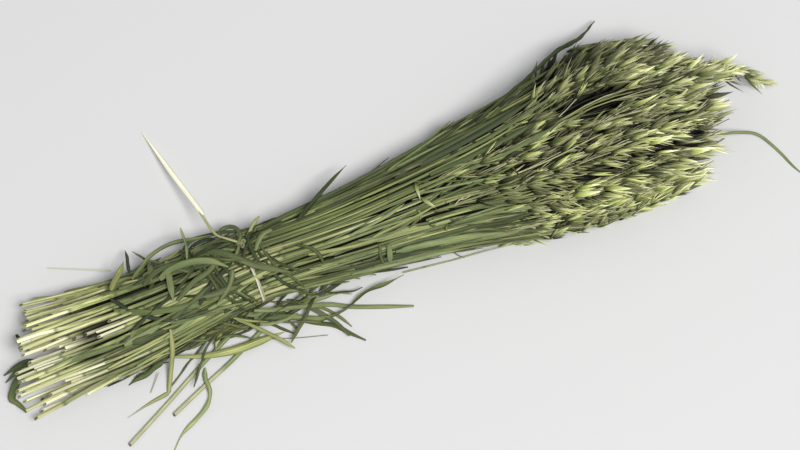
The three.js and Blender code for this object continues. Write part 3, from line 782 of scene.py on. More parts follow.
def stem_mesh(pile, group):
    """Hollow stems with joints and sheaths, down to the tips of their panicles' axes."""
    centres, radii, tints, along, slants, tangents = [], [], [], [], [], []
    for stalk in group:
        joints = stalk.joints[:, None] + JOINT_STATIONS
        sheaths = stalk.sheaths[:, None] + SHEATH_STATIONS
        even = np.linspace(stalk.cut, stalk.tip, EVEN_STATIONS)
        stations = np.concatenate([even, joints.ravel(), sheaths.ravel()])
        stations = np.sort(np.clip(stations, stalk.cut, stalk.tip))
        points = stalk.at(stations)
        radius = stalk.radius(stations)
        direction = stalk.at(stations + 1.0) - stalk.at(stations - 1.0)
        centres.append(turned_in(points, stalk.at(stalk.cut + HOLLOW["depth"])))
        radii.append(np.concatenate([HOLLOW["radii"] * radius[0], radius]))
        tangents.append(turned_in(direction, direction[0]))
        past_cut = smooth_step(stations, CUT_BLEACH["from"], CUT_BLEACH["to"])
        own = stalk.own * (STEM_OWN[0] + STEM_OWN[1] * past_cut) + STEM_OWN[2] * past_cut
        stray = stalk.strays * smooth_step(stations, STRAY_SHADE["from"], STRAY_SHADE["to"])
        light = stalk.light * (1 - STRAY_SHADE["most"] * stray)
        light = light * (CUT_BLEACH["light"] + (1 - CUT_BLEACH["light"]) * past_cut)
        at_tie = np.exp(-(((stations - TIE_SHADE["at"]) / TIE_SHADE["spread"]) ** 2))
        light = light * (1 - TIE_SHADE["most"] * at_tie * smooth_step(points[:, 1], *TIE_SHADE["side"]))
        tint = [own, stalk.wrapped(stations), stalk.joint(stations) * JOINT_DARK, light]
        # the hollow in the cut end takes the joints' dark colour and painted shade
        tints.append(turned_in(np.stack(tint, -1), [own[0], 1, 1, HOLLOW["light"]]))
        along.append(turned_in(stations, stations[0] + HOLLOW["depth"]) / 100)
        this_way = scatter(stalk.number, 8 + stalk.member) > CUT_SLANT["limit"]
        slant = CUT_SLANT["long"] * (1 if this_way else CUT_SLANT["other way"])
        slants.append(np.concatenate([[0, slant, slant], np.zeros(len(stations) - 1)]))
    centres, radii, tints, along, slants, tangents = map(
        np.array, (centres, radii, tints, along, slants, tangents)
    )
    turns = [stalk.phase for stalk in group]
    tubes(pile, centres, radii, STEM_SIDES, tints, along, slant=slants, tangent=tangents, turn=turns)


# Spikelets: two boat-shaped glumes, wholly or partly closed over slim florets
GLUME_ROWS = np.array([0, 0.07, 0.22, 0.42, 0.66, 0.86, 1.0])
GLUME_COLUMNS = np.array([-1, -0.5, 0, 0.5, 1])
GLUME_SKIN = 0.02
GLUME_FORM = {"root": 0.55, "tip": 1.2, "widest": 0.342}  # two powers, and their product's largest value
GLUME_WRAP = math.radians(78)  # how far a glume wraps round to each side
SHEET = {"outer": [0, 1, 2, 3, 4], "inner": [0, 5, 4]}  # which of a row's points each side of the skin joins


def turned(points, angle):
    """Points turned about the Y axis."""
    cos, sin = math.cos(angle), math.sin(angle)
    return points @ np.array([[cos, 0, sin], [0, 1, 0], [-sin, 0, cos]])


def glume(length, width, opening, lift, sign):
    """Points, faces, UV and part numbers of one closed glume. Its axis is +X, its sides +Y and -Y."""
    t = GLUME_ROWS[1:-1, None]
    half = 0.5 * width * t ** GLUME_FORM["root"] * (1 - t) ** GLUME_FORM["tip"] / GLUME_FORM["widest"]
    radius = half / math.sin(GLUME_WRAP)
    swell = np.sin(np.pi * t)
    y = radius * np.sin(GLUME_WRAP * GLUME_COLUMNS)
    z = radius * (np.cos(GLUME_WRAP * GLUME_COLUMNS) - math.cos(GLUME_WRAP)) * 0.8 + lift * swell
    y, z = np.hstack([y, y[:, 2:3]]), np.hstack([z, z[:, 2:3] - GLUME_SKIN * swell])
    rows, columns = y.shape
    points = np.stack([np.broadcast_to(t * length, y.shape), y, z], -1).reshape(-1, 3)
    points = np.vstack([points, [[0, 0, 0]], [[length, 0, lift * 0.2]]])
    root, point = len(points) - 2, len(points) - 1
    quads, tris = [], []
    for name, order in SHEET.items():
        sheet = np.arange(rows)[:, None] * columns + np.array(order)
        a, b, c, d = sheet[:-1, :-1], sheet[:-1, 1:], sheet[1:, 1:], sheet[1:, :-1]
        first, last = sheet[0], sheet[-1]
        rooted = np.stack([np.full(len(first) - 1, root), first[:-1], first[1:]], -1)
        pointed = np.stack([np.full(len(first) - 1, point), last[1:], last[:-1]], -1)
        outer = name == "outer"
        quads.append(np.stack((a, d, c, b) if outer else (a, b, c, d), -1).reshape(-1, 4))
        tris += [rooted, pointed] if outer else [rooted[:, ::-1], pointed[:, ::-1]]
    u = np.append(np.tile(np.append((GLUME_COLUMNS + 1) / 2, 0.5), rows), [0.5, 0.5])
    v = np.append(np.repeat(GLUME_ROWS[1:-1], columns), [0, 1])
    if sign < 0:
        points = points * np.array([1, -1, -1])
    part = np.append(np.tile([0, 0, 0, 0, 0, 1], rows), [0, 0])
    return turned(points, sign * opening / 2), np.vstack(quads), np.vstack(tris), np.stack([u, v], -1), part


def awn(start, length, thickness, tilt):
    """A hair-fine closed spike."""
    bearing = 2 * np.pi * np.arange(3) / 3
    ring = np.stack([np.full(3, start), thickness * np.cos(bearing), thickness * np.sin(bearing)], -1)
    points = turned(np.vstack([ring, [[length, 0, 0]]]), tilt)
    tris = np.array([[0, 2, 1], [0, 1, 3], [1, 2, 3], [2, 0, 3]])
    uv = np.array([[0.4, 0.5], [0.5, 0.5], [0.6, 0.5], [0.5, 1.0]])
    return points, np.zeros((0, 4), int), tris, uv, np.ones(4)


def floret(length, width, tilt):
    """A slim closed spindle between the glumes."""
    t = np.array([0.12, 0.4, 0.75])
    ring = np.array([[0, 1], [-1, 0], [0, -1], [1, 0]])
    size = width / 2 * np.array([0.6, 1, 0.6])
    rows = []
    for share, s in zip(t, size):
        rows.append(np.stack([np.full(4, share * length), s * ring[:, 0], s * 0.8 * ring[:, 1]], -1))
    points = turned(np.vstack([*rows, [[0, 0, 0]], [[length, 0, 0]]]), tilt)
    j, k = np.arange(4), (np.arange(4) + 1) % 4
    quads = np.vstack([np.stack([r + j, r + k, r + 4 + k, r + 4 + j], -1) for r in (0, 4)])
    root, tip = np.full(4, 12), np.full(4, 13)
    tris = np.vstack([np.stack([k, j, root], -1), np.stack([8 + j, 8 + k, tip], -1)])
    u = np.concatenate([np.tile([0.3, 0.5, 0.7, 0.5], 3), [0.5, 0.5]])
    return points, quads, tris, np.stack([u, points[:, 0] / length], -1), np.full(len(points), 0.5)


def spikelet_form(width, opening, lift, florets, awns):
    """One spikelet's points, faces, UV and part numbers, as one template of length 1."""
    forms = [glume(1, width, opening, lift, 1), glume(0.92, 0.94 * width, opening, lift, -1)]
    forms += [floret(share, width * 0.45, tilt) for share, tilt in florets]
    forms += [awn(0.3, length, 0.012, tilt) for length, tilt in awns]
    rows, first = [], 0
    for points, quads, tris, uv, part in forms:
        rows.append((points, quads + first, tris + first, uv, part))
        first += len(points)
    return [np.concatenate(column) for column in zip(*rows)]


SPIKELET_LENGTH = 23.5
FORMS = [
    spikelet_form(0.135, math.radians(7), 0.0, [(0.85, 0.0)], [(1.12, 0.06)]),
    spikelet_form(0.13, math.radians(13), 0.006, [(0.88, 0.02)], [(1.1, -0.08)]),
    spikelet_form(0.125, math.radians(21), 0.01, [(0.85, 0.05)], [(1.15, 0.0)]),
    spikelet_form(0.105, math.radians(9), 0.0, [], [(1.1, 0.05)]),
    spikelet_form(0.12, math.radians(31), 0.012, [(0.8, 0.1)], [(1.0, -0.1)]),
]
FORM_SHARES = [0.24, 0.3, 0.24, 0.14, 0.08]


def stamp(pile, form, quads, tris, uv, part, origins, axes, sides, lengths, widths, own, pale, light):
    """Copies of one template: its X along axes, its Y along sides."""
    n, m = len(origins), len(form)
    normals = np.cross(axes, sides)
    p = form[None]
    bow = 0.3 * np.sin(np.pi * p[..., :1]) * (own[:, None, None] - 0.4)
    broad = (lengths * widths)[:, None, None]
    points = (
        origins[:, None]
        + axes[:, None] * p[..., :1] * lengths[:, None, None]
        + sides[:, None] * (p[..., 1:2] + 0.2 * bow) * broad
        + normals[:, None] * p[..., 2:3] * broad
    )
    points[..., 2] = np.maximum(points[..., 2], 0.25)
    tints = np.empty((n, m, 4))
    for k, values in enumerate((own[:, None], pale[:, None], part[None], light[:, None])):
        tints[..., k] = values
    pile.add(
        points.reshape(-1, 3),
        tints.reshape(-1, 4),
        (repeated(quads, n, m), np.tile(uv[quads], (n, 1, 1))),
        (repeated(tris, n, m), np.tile(uv[tris], (n, 1, 1))),
    )


PER_STALK = {  # spikelets on each real stalk
    "top": 44, "second": 36, "side": 40, "bottom": 22, "inside": 12, "extra": 14, "stray": 34,
}
MORE_ON_NODDING = 12
# Spikelets lean away from a line along the heads, more the further they are from it
FAN = {"middle": 9, "slope": 0.0045}
# A gap in the heads' top that shows their inside: its middle, half its size, and how far down it goes
PARTING = {"at": (326, 12), "half": (52, 13), "turn": -0.11, "deep": 24, "edge": (0.6, 1.2)}
FROM_NECK = 8  # the first spikelet's place
BEFORE_TIP = {"plain": 17, "nodding": 8}
SITE_POWER = 0.7  # under 1 it puts more spikelets towards the tip
NEXT_BEARING = 2.4
BRANCH = {"radii": (0.4, 0.3), "back": (14, 46), "bulge": (0.3, 1.6), "steps": 4, "own": (0.12, 0.2)}
LEAN = {"out": 0.3, "chance": 0.13, "from middle": 0.05}
EDGE_ROOM = 3  # how far past the field's half width a spikelet's tip may reach
TOP, SECOND, BOTTOM = len(LAYERS) - 1, len(LAYERS) - 2, 0


def spikelet_count(stalk):
    if stalk.extra:
        return PER_STALK["extra"]
    if stalk.strays:
        return PER_STALK["stray"]
    if stalk.row == TOP:
        return PER_STALK["top"] + MORE_ON_NODDING * stalk.nods
    if abs(stalk.across) >= LAYERS[stalk.row][1] - 1e-6:
        return PER_STALK["side"]
    return PER_STALK[{BOTTOM: "bottom", SECOND: "second"}.get(stalk.row, "inside")]


def kept_in_heads(stalk, base, direction):
    """The way each spikelet points, turned so that its tip stays near the field of stalks."""
    if stalk.strays:
        return direction
    tip = base + SPIKELET_LENGTH * direction
    edge = form("half", tip[:, 0]) + EDGE_ROOM
    drift = form("drift", tip[:, 0])
    direction[:, 1] += (np.clip(tip[:, 1], drift - edge, drift + edge) - tip[:, 1]) / SPIKELET_LENGTH
    return unit(direction)


def out_of_parting(base, direction):
    """Which spikelets are clear of the gap in the heads' top."""
    halfway = base + 0.5 * SPIKELET_LENGTH * direction
    run = halfway[:, 0] - PARTING["at"][0]
    aside = halfway[:, 1] - PARTING["at"][1] - PARTING["turn"] * run
    from_middle = np.hypot(run / PARTING["half"][0], aside / PARTING["half"][1])
    on_top = halfway[:, 2] > roof(halfway[:, 0], halfway[:, 1]) - PARTING["deep"]
    return ~(on_top & (from_middle < rng.uniform(*PARTING["edge"], len(base))))


def panicle_sites(stalk):
    """Where a stalk's spikelets sit, the way they point, and where their branches leave the axis."""
    count = spikelet_count(stalk)
    t = ((np.arange(count) + rng.uniform(0, 1, count)) / count) ** SITE_POWER
    reach = stalk.tip - BEFORE_TIP["nodding" if stalk.nods else "plain"] - (stalk.neck + FROM_NECK)
    x = stalk.neck + FROM_NECK + t * reach
    along = unit(stalk.at(x + 1) - stalk.at(x - 1))
    cell_y, cell_z = room(x)
    bearing = stalk.phase + np.arange(count) * NEXT_BEARING + rng.uniform(-0.5, 0.5, count)
    spread = np.sqrt(rng.uniform(0.1, 1, count)) * (1.05 - 0.6 * t**3) * (0.5 if stalk.strays else 1)
    none = np.zeros(count)
    away = np.stack([none, np.cos(bearing) * cell_y * spread, np.sin(bearing) * cell_z * spread], -1)
    base = stalk.at(x) + away
    lean = LEAN["out"] * unit(away) * spread[:, None] + rng.normal(0, LEAN["chance"], (count, 3))
    middle = np.stack([x, form("drift", x), floor_lift(x) + 0.45 * form("rise", x)], -1)
    fan = np.stack([none, FAN["slope"] * (base[:, 1] - FAN["middle"]), none], -1)
    direction = unit(along + lean + LEAN["from middle"] * unit(base - middle) + fan)
    direction = kept_in_heads(stalk, base, direction)
    root = stalk.at(np.maximum(x - rng.uniform(*BRANCH["back"], count), stalk.neck + 1))
    clear = out_of_parting(base, direction)
    return base[clear], direction[clear], root[clear]


HUSK_OWN = {"middle": 0.3, "from stalk": 0.5, "spread": 0.22, "far side": 0.3, "from": (-10, 60)}
HUSK_PALE = {"middle": 0.15, "spread": 0.2, "by tip": 0.65, "from": (250, 420)}
# painted light and shade of the spikelets: a random share of the light for each, for highlights and dark
# gaps, and less on the stray stalk
HUSK_LIGHT = {"range": (0.1, 1.75), "stray": 0.5}
FAR_SHADE = {"most": 0.5, "from": (15, 52), "less": 0.3, "along": (310, 350)}  # darker on the far side
NEAR_LIGHT = {"most": 0.15, "from": (15, 50)}  # lighter on the near side
SPIKELET_SIZES = {"length": (0.72, 1.15), "width": (1.0, 1.45)}


def husk_colours(stalk, base):
    """Each spikelet's own colour, paleness, and painted light and shade."""
    count = len(base)
    x, y = base[:, 0], base[:, 1]
    middle = HUSK_OWN["middle"] + HUSK_OWN["from stalk"] * (stalk.own - 0.5)
    green = HUSK_OWN["far side"] * smooth_step(y, *HUSK_OWN["from"])
    own = np.clip(rng.normal(middle, HUSK_OWN["spread"], count) + green, 0, 1)
    pale = rng.normal(HUSK_PALE["middle"], HUSK_PALE["spread"], count)
    pale = np.clip(pale + HUSK_PALE["by tip"] * smooth_step(x, *HUSK_PALE["from"]), 0, 1)
    shade = FAR_SHADE["most"] * smooth_step(y, *FAR_SHADE["from"])
    shade = shade * (1 - FAR_SHADE["less"] * smooth_step(x, *FAR_SHADE["along"]))
    shade = shade - NEAR_LIGHT["most"] * smooth_step(-y, *NEAR_LIGHT["from"])
    # painted shade on the stray stalk's spikelets
    stray = HUSK_LIGHT["stray"] if stalk.strays else 1.0
    return own, pale, rng.uniform(*HUSK_LIGHT["range"], count) * stray * (1 - shade)


def panicle_mesh(axes_pile, husk_pile, group):
    """Branches and spikelets of a group of stalks."""
    rows = []
    for stalk in group:
        sites = panicle_sites(stalk)
        rows.append((*sites, *husk_colours(stalk, sites[0])))
    base, direction, root, own, pale, light = (np.concatenate(column) for column in zip(*rows))
    n = len(base)
    base[:, 2] = np.maximum(base[:, 2], 1.2)
    t = np.linspace(0, 1, BRANCH["steps"])[None, :, None]
    line = root[:, None] * (1 - t) + base[:, None] * t
    bulge = unit(np.cross(unit(base - root), rng.normal(0, 1, (n, 3))))[:, None]
    line = line + bulge * np.sin(np.pi * t) * rng.uniform(*BRANCH["bulge"], (n, 1, 1))
    line = np.concatenate([line, (base + direction * 1.2)[:, None]], 1)
    line[..., 2] = np.maximum(line[..., 2], 0.4)
    rings = line.shape[1]
    radii = np.broadcast_to(np.linspace(*BRANCH["radii"], rings), (n, rings))
    tints = np.zeros((n, rings, 4))
    tints[..., 0] = BRANCH["own"][0] + BRANCH["own"][1] * own[:, None]
    tints[..., 3] = light[:, None]
    tubes(axes_pile, line, radii, 3, tints, np.broadcast_to(np.linspace(0, 0.3, rings), (n, rings)))
    roll = rng.uniform(0, 2 * np.pi, n)
    side = unit(np.cross(UP, direction))
    rise = np.cross(direction, side)
    side = side * np.cos(roll)[:, None] + rise * np.sin(roll)[:, None]
    kind = rng.choice(len(FORMS), n, p=FORM_SHARES)
    lengths = SPIKELET_LENGTH * rng.uniform(*SPIKELET_SIZES["length"], n)
    widths = rng.uniform(*SPIKELET_SIZES["width"], n)
    for k, template in enumerate(FORMS):
        sized = (a[kind == k] for a in (base, direction, side, lengths, widths, own, pale, light))
        stamp(husk_pile, *template, *sized)


for row in range(len(LAYERS)):
    group = [s for s in stalks if s.row == row]
    nodes = [f"stalk_{n:02d}" for n in sorted({s.number for s in group})]
    axes_pile, husk_pile = Pile(), Pile()
    stem_mesh(axes_pile, group)
    panicle_mesh(axes_pile, husk_pile, group)
    axes_pile.build(f"stems_layer_{row + 1}", STRAW, "oat_straw", nodes)
    husk_pile.build(f"spikelets_layer_{row + 1}", HUSK, "oat_straw", nodes)

# The leaves that the solids hold, on the same courses. Here the two at the heads reach a little further, and
# the bent and the kinked one have more bends.
LEAF_PAINTS = {
    "sage": (LEAF_SAGE, "leaf_sage"),
    "dark": (LEAF_DARK, "leaf_dark"),
    "yellow": (LEAF_YELLOW, "leaf_yellow"),
}
NAMED_LEAVES = {
    "leaf_over_tie": ("sage", dict(width=7, roll=(0.1, -0.1, 0.15), ruffle=0.3, tint=(0.6, 0.4)), [
        over(-31, 18, 1.5), over(-22, 14, 3.5), over(-10, 3, 4.5), over(3, -9, 4.5), over(17, -18, 4),
        over(34, -26, 2)]),
    "leaf_hanging_front": ("sage", dict(width=6, roll=(0, 0.5, 0.2), fold=1.4, tint=(0.7, 0.3)), [
        over(-17, -4, 1), over(-19, -10, 2), over(-26, -19, 2.6), over(-40, -27, 2.4)]),
    "leaf_pointing_away": ("dark", dict(width=5, roll=(0, 0.9, 1.2), fold=1.6, tint=(0.6, 0.5)), [
        over(50, 16, 1.4), over(60, 22, 3.5), over(70, 29, 6), [84, 39, 33], [97, 48, 25], [110, 57, 16]]),
    "leaf_right_straight": ("sage", dict(
        width=4.4, roll=(0.2, 0.5, 0.1), fold=1.0, ends=(0.6, 0.5), taper=(0.1, 0.1), tint=(0.8, 0.5)), [
        [-10, -35.5, 13], [8, -41, 11], [30, -46, 9], [53, -51.5, 4], [70, -59.4, 1.4], [119, -78, 1]]),
    "leaf_right_twisted": ("sage", dict(width=6, roll=(0, 0.4, 1.8, 2.6, 3.0), ruffle=0.4, tint=(0.4, 0.5)), [
        [-12, -40, 8], [20, -51, 5.5], [42, -60.6, 3.6], [63, -61, 6.5], [84, -54, 10], [103, -54, 12],
        [120, -52.5, 13]]),
    "leaf_right_dark": ("dark", dict(
        width=4.6, roll=(0, 0.5), fold=1.2, ends=(0.6, 0.35), tint=(0.9, 0.3)), [
        [10, -40, 3], [22, -51, 1], [34, -60, 0.6], [50, -69.6, 1.5], [59.5, -80.7, 1.5],
        [69.7, -91.9, 2.5]]),
    "leaf_broad": ("yellow", dict(
        width=10.5, roll=(0.2, 0, -0.25), fold=2.0, curl=0.5, taper=(0.6, 0.3), ends=(0.3, 0.1),
        tint=(0.2, 0.4)), [
        [-90, -46, 8], [-63, -55.5, 7], [-37, -60, 6.5], [-14, -60, 5.6], [8, -59, 1]]),
    "leaf_curly": ("sage", dict(width=4.6, roll=(0, 0.8, 0.1, 0.9), ruffle=0.4, tint=(0.9, 0.8), light=1.5), [
        [-66, -64, 1], [-69, -74, 5.5], [-69.5, -87, 6.5], [-75, -96, 5], [-89, -104, 2],
        [-104.5, -111.5, 1], [-117, -124, 0.6]]),
    "leaf_bent_yellow": ("yellow", dict(width=5, roll=(0, 0.5, 0.1), crease=0.58, tint=(0.8, 0.7)), [
        over(-83, -33, 1.8), [-87, -46, 24], [-92.3, -55, 12], [-100.5, -70, 2.6], [-102.5, -73, 1.2],
        [-105.5, -73.7, 1], [-121, -76, 0.8], [-142, -81, 0.6]]),
    "leaf_crumpled": ("sage", dict(width=7, fold=2, ruffle=0.9, tint=(0.2, 0.4)), [
        [-97, -50, 14], [-105, -50.5, 12], [-113, -53, 8], [-122, -53, 6], [-131, -55, 1.5]]),
    "leaf_kinked_end": ("dark", dict(
        width=7.5, roll=(0.2, -0.2, 0), ends=(0.6, 0.4), crease=0.78, tint=(0.6, 0.5)), [
        [-192, -20, 10], [-207, -15, 11], [-216, -18, 9.5], [-223.5, -25, 6], [-227, -30.5, 3],
        [-224, -35, 1.5], [-219, -45, 0.8]]),
    "leaf_arched_back": ("sage", dict(width=4.5, roll=(0.2, 1.0, 0.4), tint=(0.5, 0.5)), [
        over(-98, 20, 1.6), over(-88, 28, 2.5), [-76, 37, 30], [-56, 42, 27], [-38, 38, 30], [-20, 35, 31]]),
    "leaf_upright_green": ("yellow", dict(width=6, roll=(0, 0.6), fold=1.3, tint=(0.2, 0.3)), [
        over(-118, 16, 1.4), over(-112, 24, 3.5), over(-105, 32, 8), [-99, 37, 41]]),
    "leaf_upright_dark": ("dark", dict(width=3.5, roll=(0, 0.7), tint=(0.4, 0.4)), [
        over(-98, 27, 3.2), [-96, 38, 29], [-94, 47, 20], [-93, 57, 9]]),
    "leaf_along_heads": ("dark", dict(
        width=5, roll=(0.9, 1.2, 0.9, 1.0), ruffle=0.4, ends=(0.5, 0.35), tint=(0.5, 0.4)), [
        over(222, 38, 2), over(250, 50, 2.5), over(281, 62, 3), [314, 80, 38], [340, 89, 24],
        [362, 105, 7]]),
    "leaf_past_heads": ("sage", dict(
        width=2.9, roll=(0.9, 0.8, 0.3), fold=0.7, ends=(0.5, 0.35), tint=(0.8, 0.3), light=1.1), [
        [410, -37, 23], [426, -37.5, 18], [438, -38.5, 11], [453, -44, 5], [464, -62, 1.2],
        [471, -81, 0.6], [476, -91, 0.6]]),
    "leaf_along_far_edge": ("dark", dict(width=5, roll=(0.3, 0.8, 0.5), ruffle=0.3, tint=(0.5, 0.3)), [
        over(22, 24, 1.2), over(56, 28, 1.2), over(90, 31, 1.2), over(125, 35, 1.2), over(160, 40, 1.2),
        over(200, 48, 1.2)]),
    "leaf_along_near_edge": ("sage", dict(width=6.5, roll=(0.9, 0.6, 0.9), ruffle=0.4, tint=(0.6, 0.5)), [
        over(118, -39, 2.5), over(150, -43.5, 2.5), over(182, -50, 2.5), over(212, -58, 2.5)]),
}
for name, (kind, shape, points) in NAMED_LEAVES.items():
    pile = Pile()
    blade(pile, points, **shape)
    paint, slot = LEAF_PAINTS[kind]
    pile.build(name.replace("leaf_", "blade_"), paint, slot, [name])

# Leaves that lie along the bundle, all round it
OUTLINE = np.vstack([SHOULDERS, SHOULDERS[::-1] * [-1, 1]])


def skin(x, place):
    """A point of the outline at x, and the way it faces. place runs 0 to 1 round it, over the top."""
    places = np.linspace(0, 1, len(OUTLINE))

    def at(share):
        share = np.clip(share, 0, 1)
        half_z = room(x)[1]
        reach, up = (np.interp(share, places, column) for column in OUTLINE.T)
        y = form("drift", x) + form("half", x) * reach
        z = floor_lift(x) + form("rise", x) * up + half_z * (2 * up - 1)
        return np.array([float(y), float(z)])

    here, step = at(place), at(place + 0.02) - at(place - 0.02)
    return here, np.array([step[1], -step[0]]) / max(np.linalg.norm(step), 1e-6)


def lying_leaf(pile, x, place, length, width, lift, drift, tint, ends_up, steps, light):
    """A leaf that runs along the bundle's outline from x, close to it or a little inside."""
    places = place + drift * np.array([0, 0.35, 0.6, 1.0])
    points, rolls = [], []
    for k, share in enumerate((0, 0.33, 0.67, 1)):
        at, facing = skin(x + share * length, float(places[k]))
        rise = lift[0] + (lift[1] - lift[0]) * share + rng.uniform(-0.8, 0.8) + ends_up * share**3
        points.append([x + share * length, *(at + facing * rise)])
        rolls.append(math.atan2(-facing[0], facing[1]))
    twist = rng.normal(0, 0.35, 4)
    narrow = min(1, width / 4)
    fold, curl, ruffle = (rng.uniform(*r) * narrow for r in ((0.3, 1.2), (0, 0.8), (0.1, 0.5)))
    blade(pile, points, width, roll=np.unwrap(rolls) + twist, fold=fold, curl=curl, ruffle=ruffle, tint=tint,
          steps=steps, light=light, taper=(0.08, 0.2), ends=(0.65, 0.12))


LEAVES_END = 246
# How many, where along and round the bundle, how long and wide, which paints in turn, how much they turn
# aside; and where it isn't the usual one, their own colour, their light, and where along the bundle they end
LYING_COLUMNS = "count x place length width paints turn own light end"
Lying = namedtuple("Lying", LYING_COLUMNS, defaults=((0, 1), LEAF_LIGHT, LEAVES_END))
LYING = [
    Lying(22, (-150, -20), (0.12, 0.55), (35, 90), (3, 6.5), "sdsd", 0.05),
    Lying(24, (-150, -10), (0.55, 0.88), (50, 120), (1.8, 4), "sys", 0.04, own=(0.5, 1), light=(0.9, 1.6)),
    Lying(52, (-125, -30), (0.2, 0.58), (25, 55), (3.5, 6.5), "sddsds", 0.09, light=(0.4, 1.15)),
    Lying(64, (-50, 12), (0.22, 0.54), (12, 34), (2.2, 5), "ddsd", 0.24, light=(0.35, 1.1)),
    Lying(14, (-40, 0), (0.5, 0.85), (18, 45), (2.5, 5), "sd", 0.1),
    Lying(22, (4, 130), (0.12, 0.42), (50, 130), (2.5, 5.5), "sdds", 0.04),
    Lying(34, (110, 240), (0.12, 0.42), (40, 100), (1.8, 4.5), "dsdy", 0.07, light=(0.35, 1.5)),
    Lying(26, (130, 215), (0.3, 0.5), (45, 90), (1.8, 4.5), "dsds", 0.07, light=(0.35, 1.5)),
    Lying(60, (0, 190), (0.28, 0.72), (70, 150), (1.3, 2.6), "sdsy", 0.03, light=(0.4, 1.6)),
    Lying(10, (4, 80), (0.6, 0.88), (60, 130), (3, 6), "sssd", 0.03, light=(0.9, 1.4)),
    Lying(26, (40, 170), (0.52, 0.66), (50, 120), (1.6, 3.6), "ssy", 0.02, own=(0.4, 1), light=(0.8, 1.35)),
    Lying(34, (140, 225), (0.18, 0.42), (50, 100), (1.8, 3.8), "dsds", 0.06, light=(0.35, 1.3), end=290),
    Lying(34, (80, 190), (0.58, 0.88), (50, 110), (2, 5.5), "ssdsd", 0.05, own=(0.4, 1), light=(0.45, 1.3)),
    Lying(18, (-150, 200), (0.0, 0.12), (50, 130), (3.5, 7), "dsd", 0.05),
    Lying(18, (-150, 200), (0.88, 1.0), (50, 130), (3.5, 7), "dsd", 0.05),
]
PAINT_LETTERS = {"s": "sage", "d": "dark", "y": "yellow"}
UNDER_TIE = {"lower by": 3.0, "from": -3, "to": 6}  # the leaves that the tie holds lie lower
LIFTED = {"share": 0.3, "most": 5, "before end": 20}  # some leaves' ends stand off
LYING_STEPS = {"length": 5, "count": (8, 26)}
lying = {kind: Pile() for kind in LEAF_PAINTS}
for spec in LYING:
    for k in range(spec.count):
        pile = lying[PAINT_LETTERS[spec.paints[k % len(spec.paints)]]]
        x, length = rng.uniform(*spec.x), rng.uniform(*spec.length)
        length = min(length, spec.end - x)
        held = x < UNDER_TIE["to"] and x + length > UNDER_TIE["from"]
        lift = np.array([rng.uniform(-2.5, 0.5), rng.uniform(-1.5, 1.5)]) - UNDER_TIE["lower by"] * held
        drift = float(rng.normal(0, spec.turn))
        ends_up = rng.uniform(0, LIFTED["most"])
        ends_up *= rng.uniform() < LIFTED["share"] and x + length < spec.end - LIFTED["before end"]
        place, width = rng.uniform(*spec.place), rng.uniform(*spec.width)
        tint = rng.uniform(*spec.own), rng.uniform(0.1, 0.9)
        steps = int(np.clip(length / LYING_STEPS["length"], *LYING_STEPS["count"]))
        lying_leaf(pile, x, place, length, width, lift, drift, tint, ends_up, steps, rng.uniform(*spec.light))

# Shreds and curls of leaf round the tie and under the bundle: how many, the middle and spread of their
# places, their lengths and widths, and how much they turn aside and rise
Tangle = namedtuple("Tangle", "count middle spread length width turn rise")
TANGLES = [
    Tangle(14, (-34, 16, 41), (24, 9, 2), (22, 50), (2, 4.5), 0.2, 0.1),
    Tangle(34, (-8, -40, 6), (34, 4.5, 3), (24, 62), (2, 4.5), 0.12, 0.06),
    Tangle(6, (-74, 24, 30), (22, 5, 4), (20, 40), (2, 4), 0.15, 0.1),
    Tangle(18, (-70, -45, 7), (38, 4, 4), (24, 60), (2, 4), 0.1, 0.06),
    Tangle(14, (60, -36, 6), (22, 3, 3), (16, 40), (1.4, 3), 0.15, 0.06),
    Tangle(14, (160, -25, 53), (14, 10, 1.5), (6, 15), (1.2, 2.4), 0.4, 0.1),
]
TANGLE_KINDS = {"sage": 0.45, "dark": 0.4, "yellow": 0.15}
TANGLE_STEPS = 4
TANGLE_FLOOR = 0.8
SHRED_STEPS = 14
for spec in TANGLES:
    for k in range(spec.count):
        pile = lying[rng.choice(list(TANGLE_KINDS), p=list(TANGLE_KINDS.values()))]
        place = rng.normal(spec.middle, spec.spread)
        heading = rng.choice([0, math.pi]) + rng.normal(0, 0.35)
        length = rng.uniform(*spec.length)
        bend = rng.uniform(-1, 1) * spec.turn
        points = [place]
        for step in range(TANGLE_STEPS):
            heading += bend + rng.normal(0, 0.16)
            rise = rng.normal(0, spec.rise)
            place = place + length / TANGLE_STEPS * np.array([math.cos(heading), math.sin(heading), rise])
            points.append(place)
        points = np.maximum(points, [-np.inf, -np.inf, TANGLE_FLOOR])
        width, roll, fold = rng.uniform(*spec.width), rng.normal(0, 0.8, 3), rng.uniform(0.3, 1)
        tint = rng.uniform(), rng.uniform(0.2, 1)
        blade(pile, points, width, roll=roll, fold=fold, ruffle=0.3, tint=tint, ends=(0.6, 0.35),
              taper=(0.08, 0.2), steps=SHRED_STEPS)

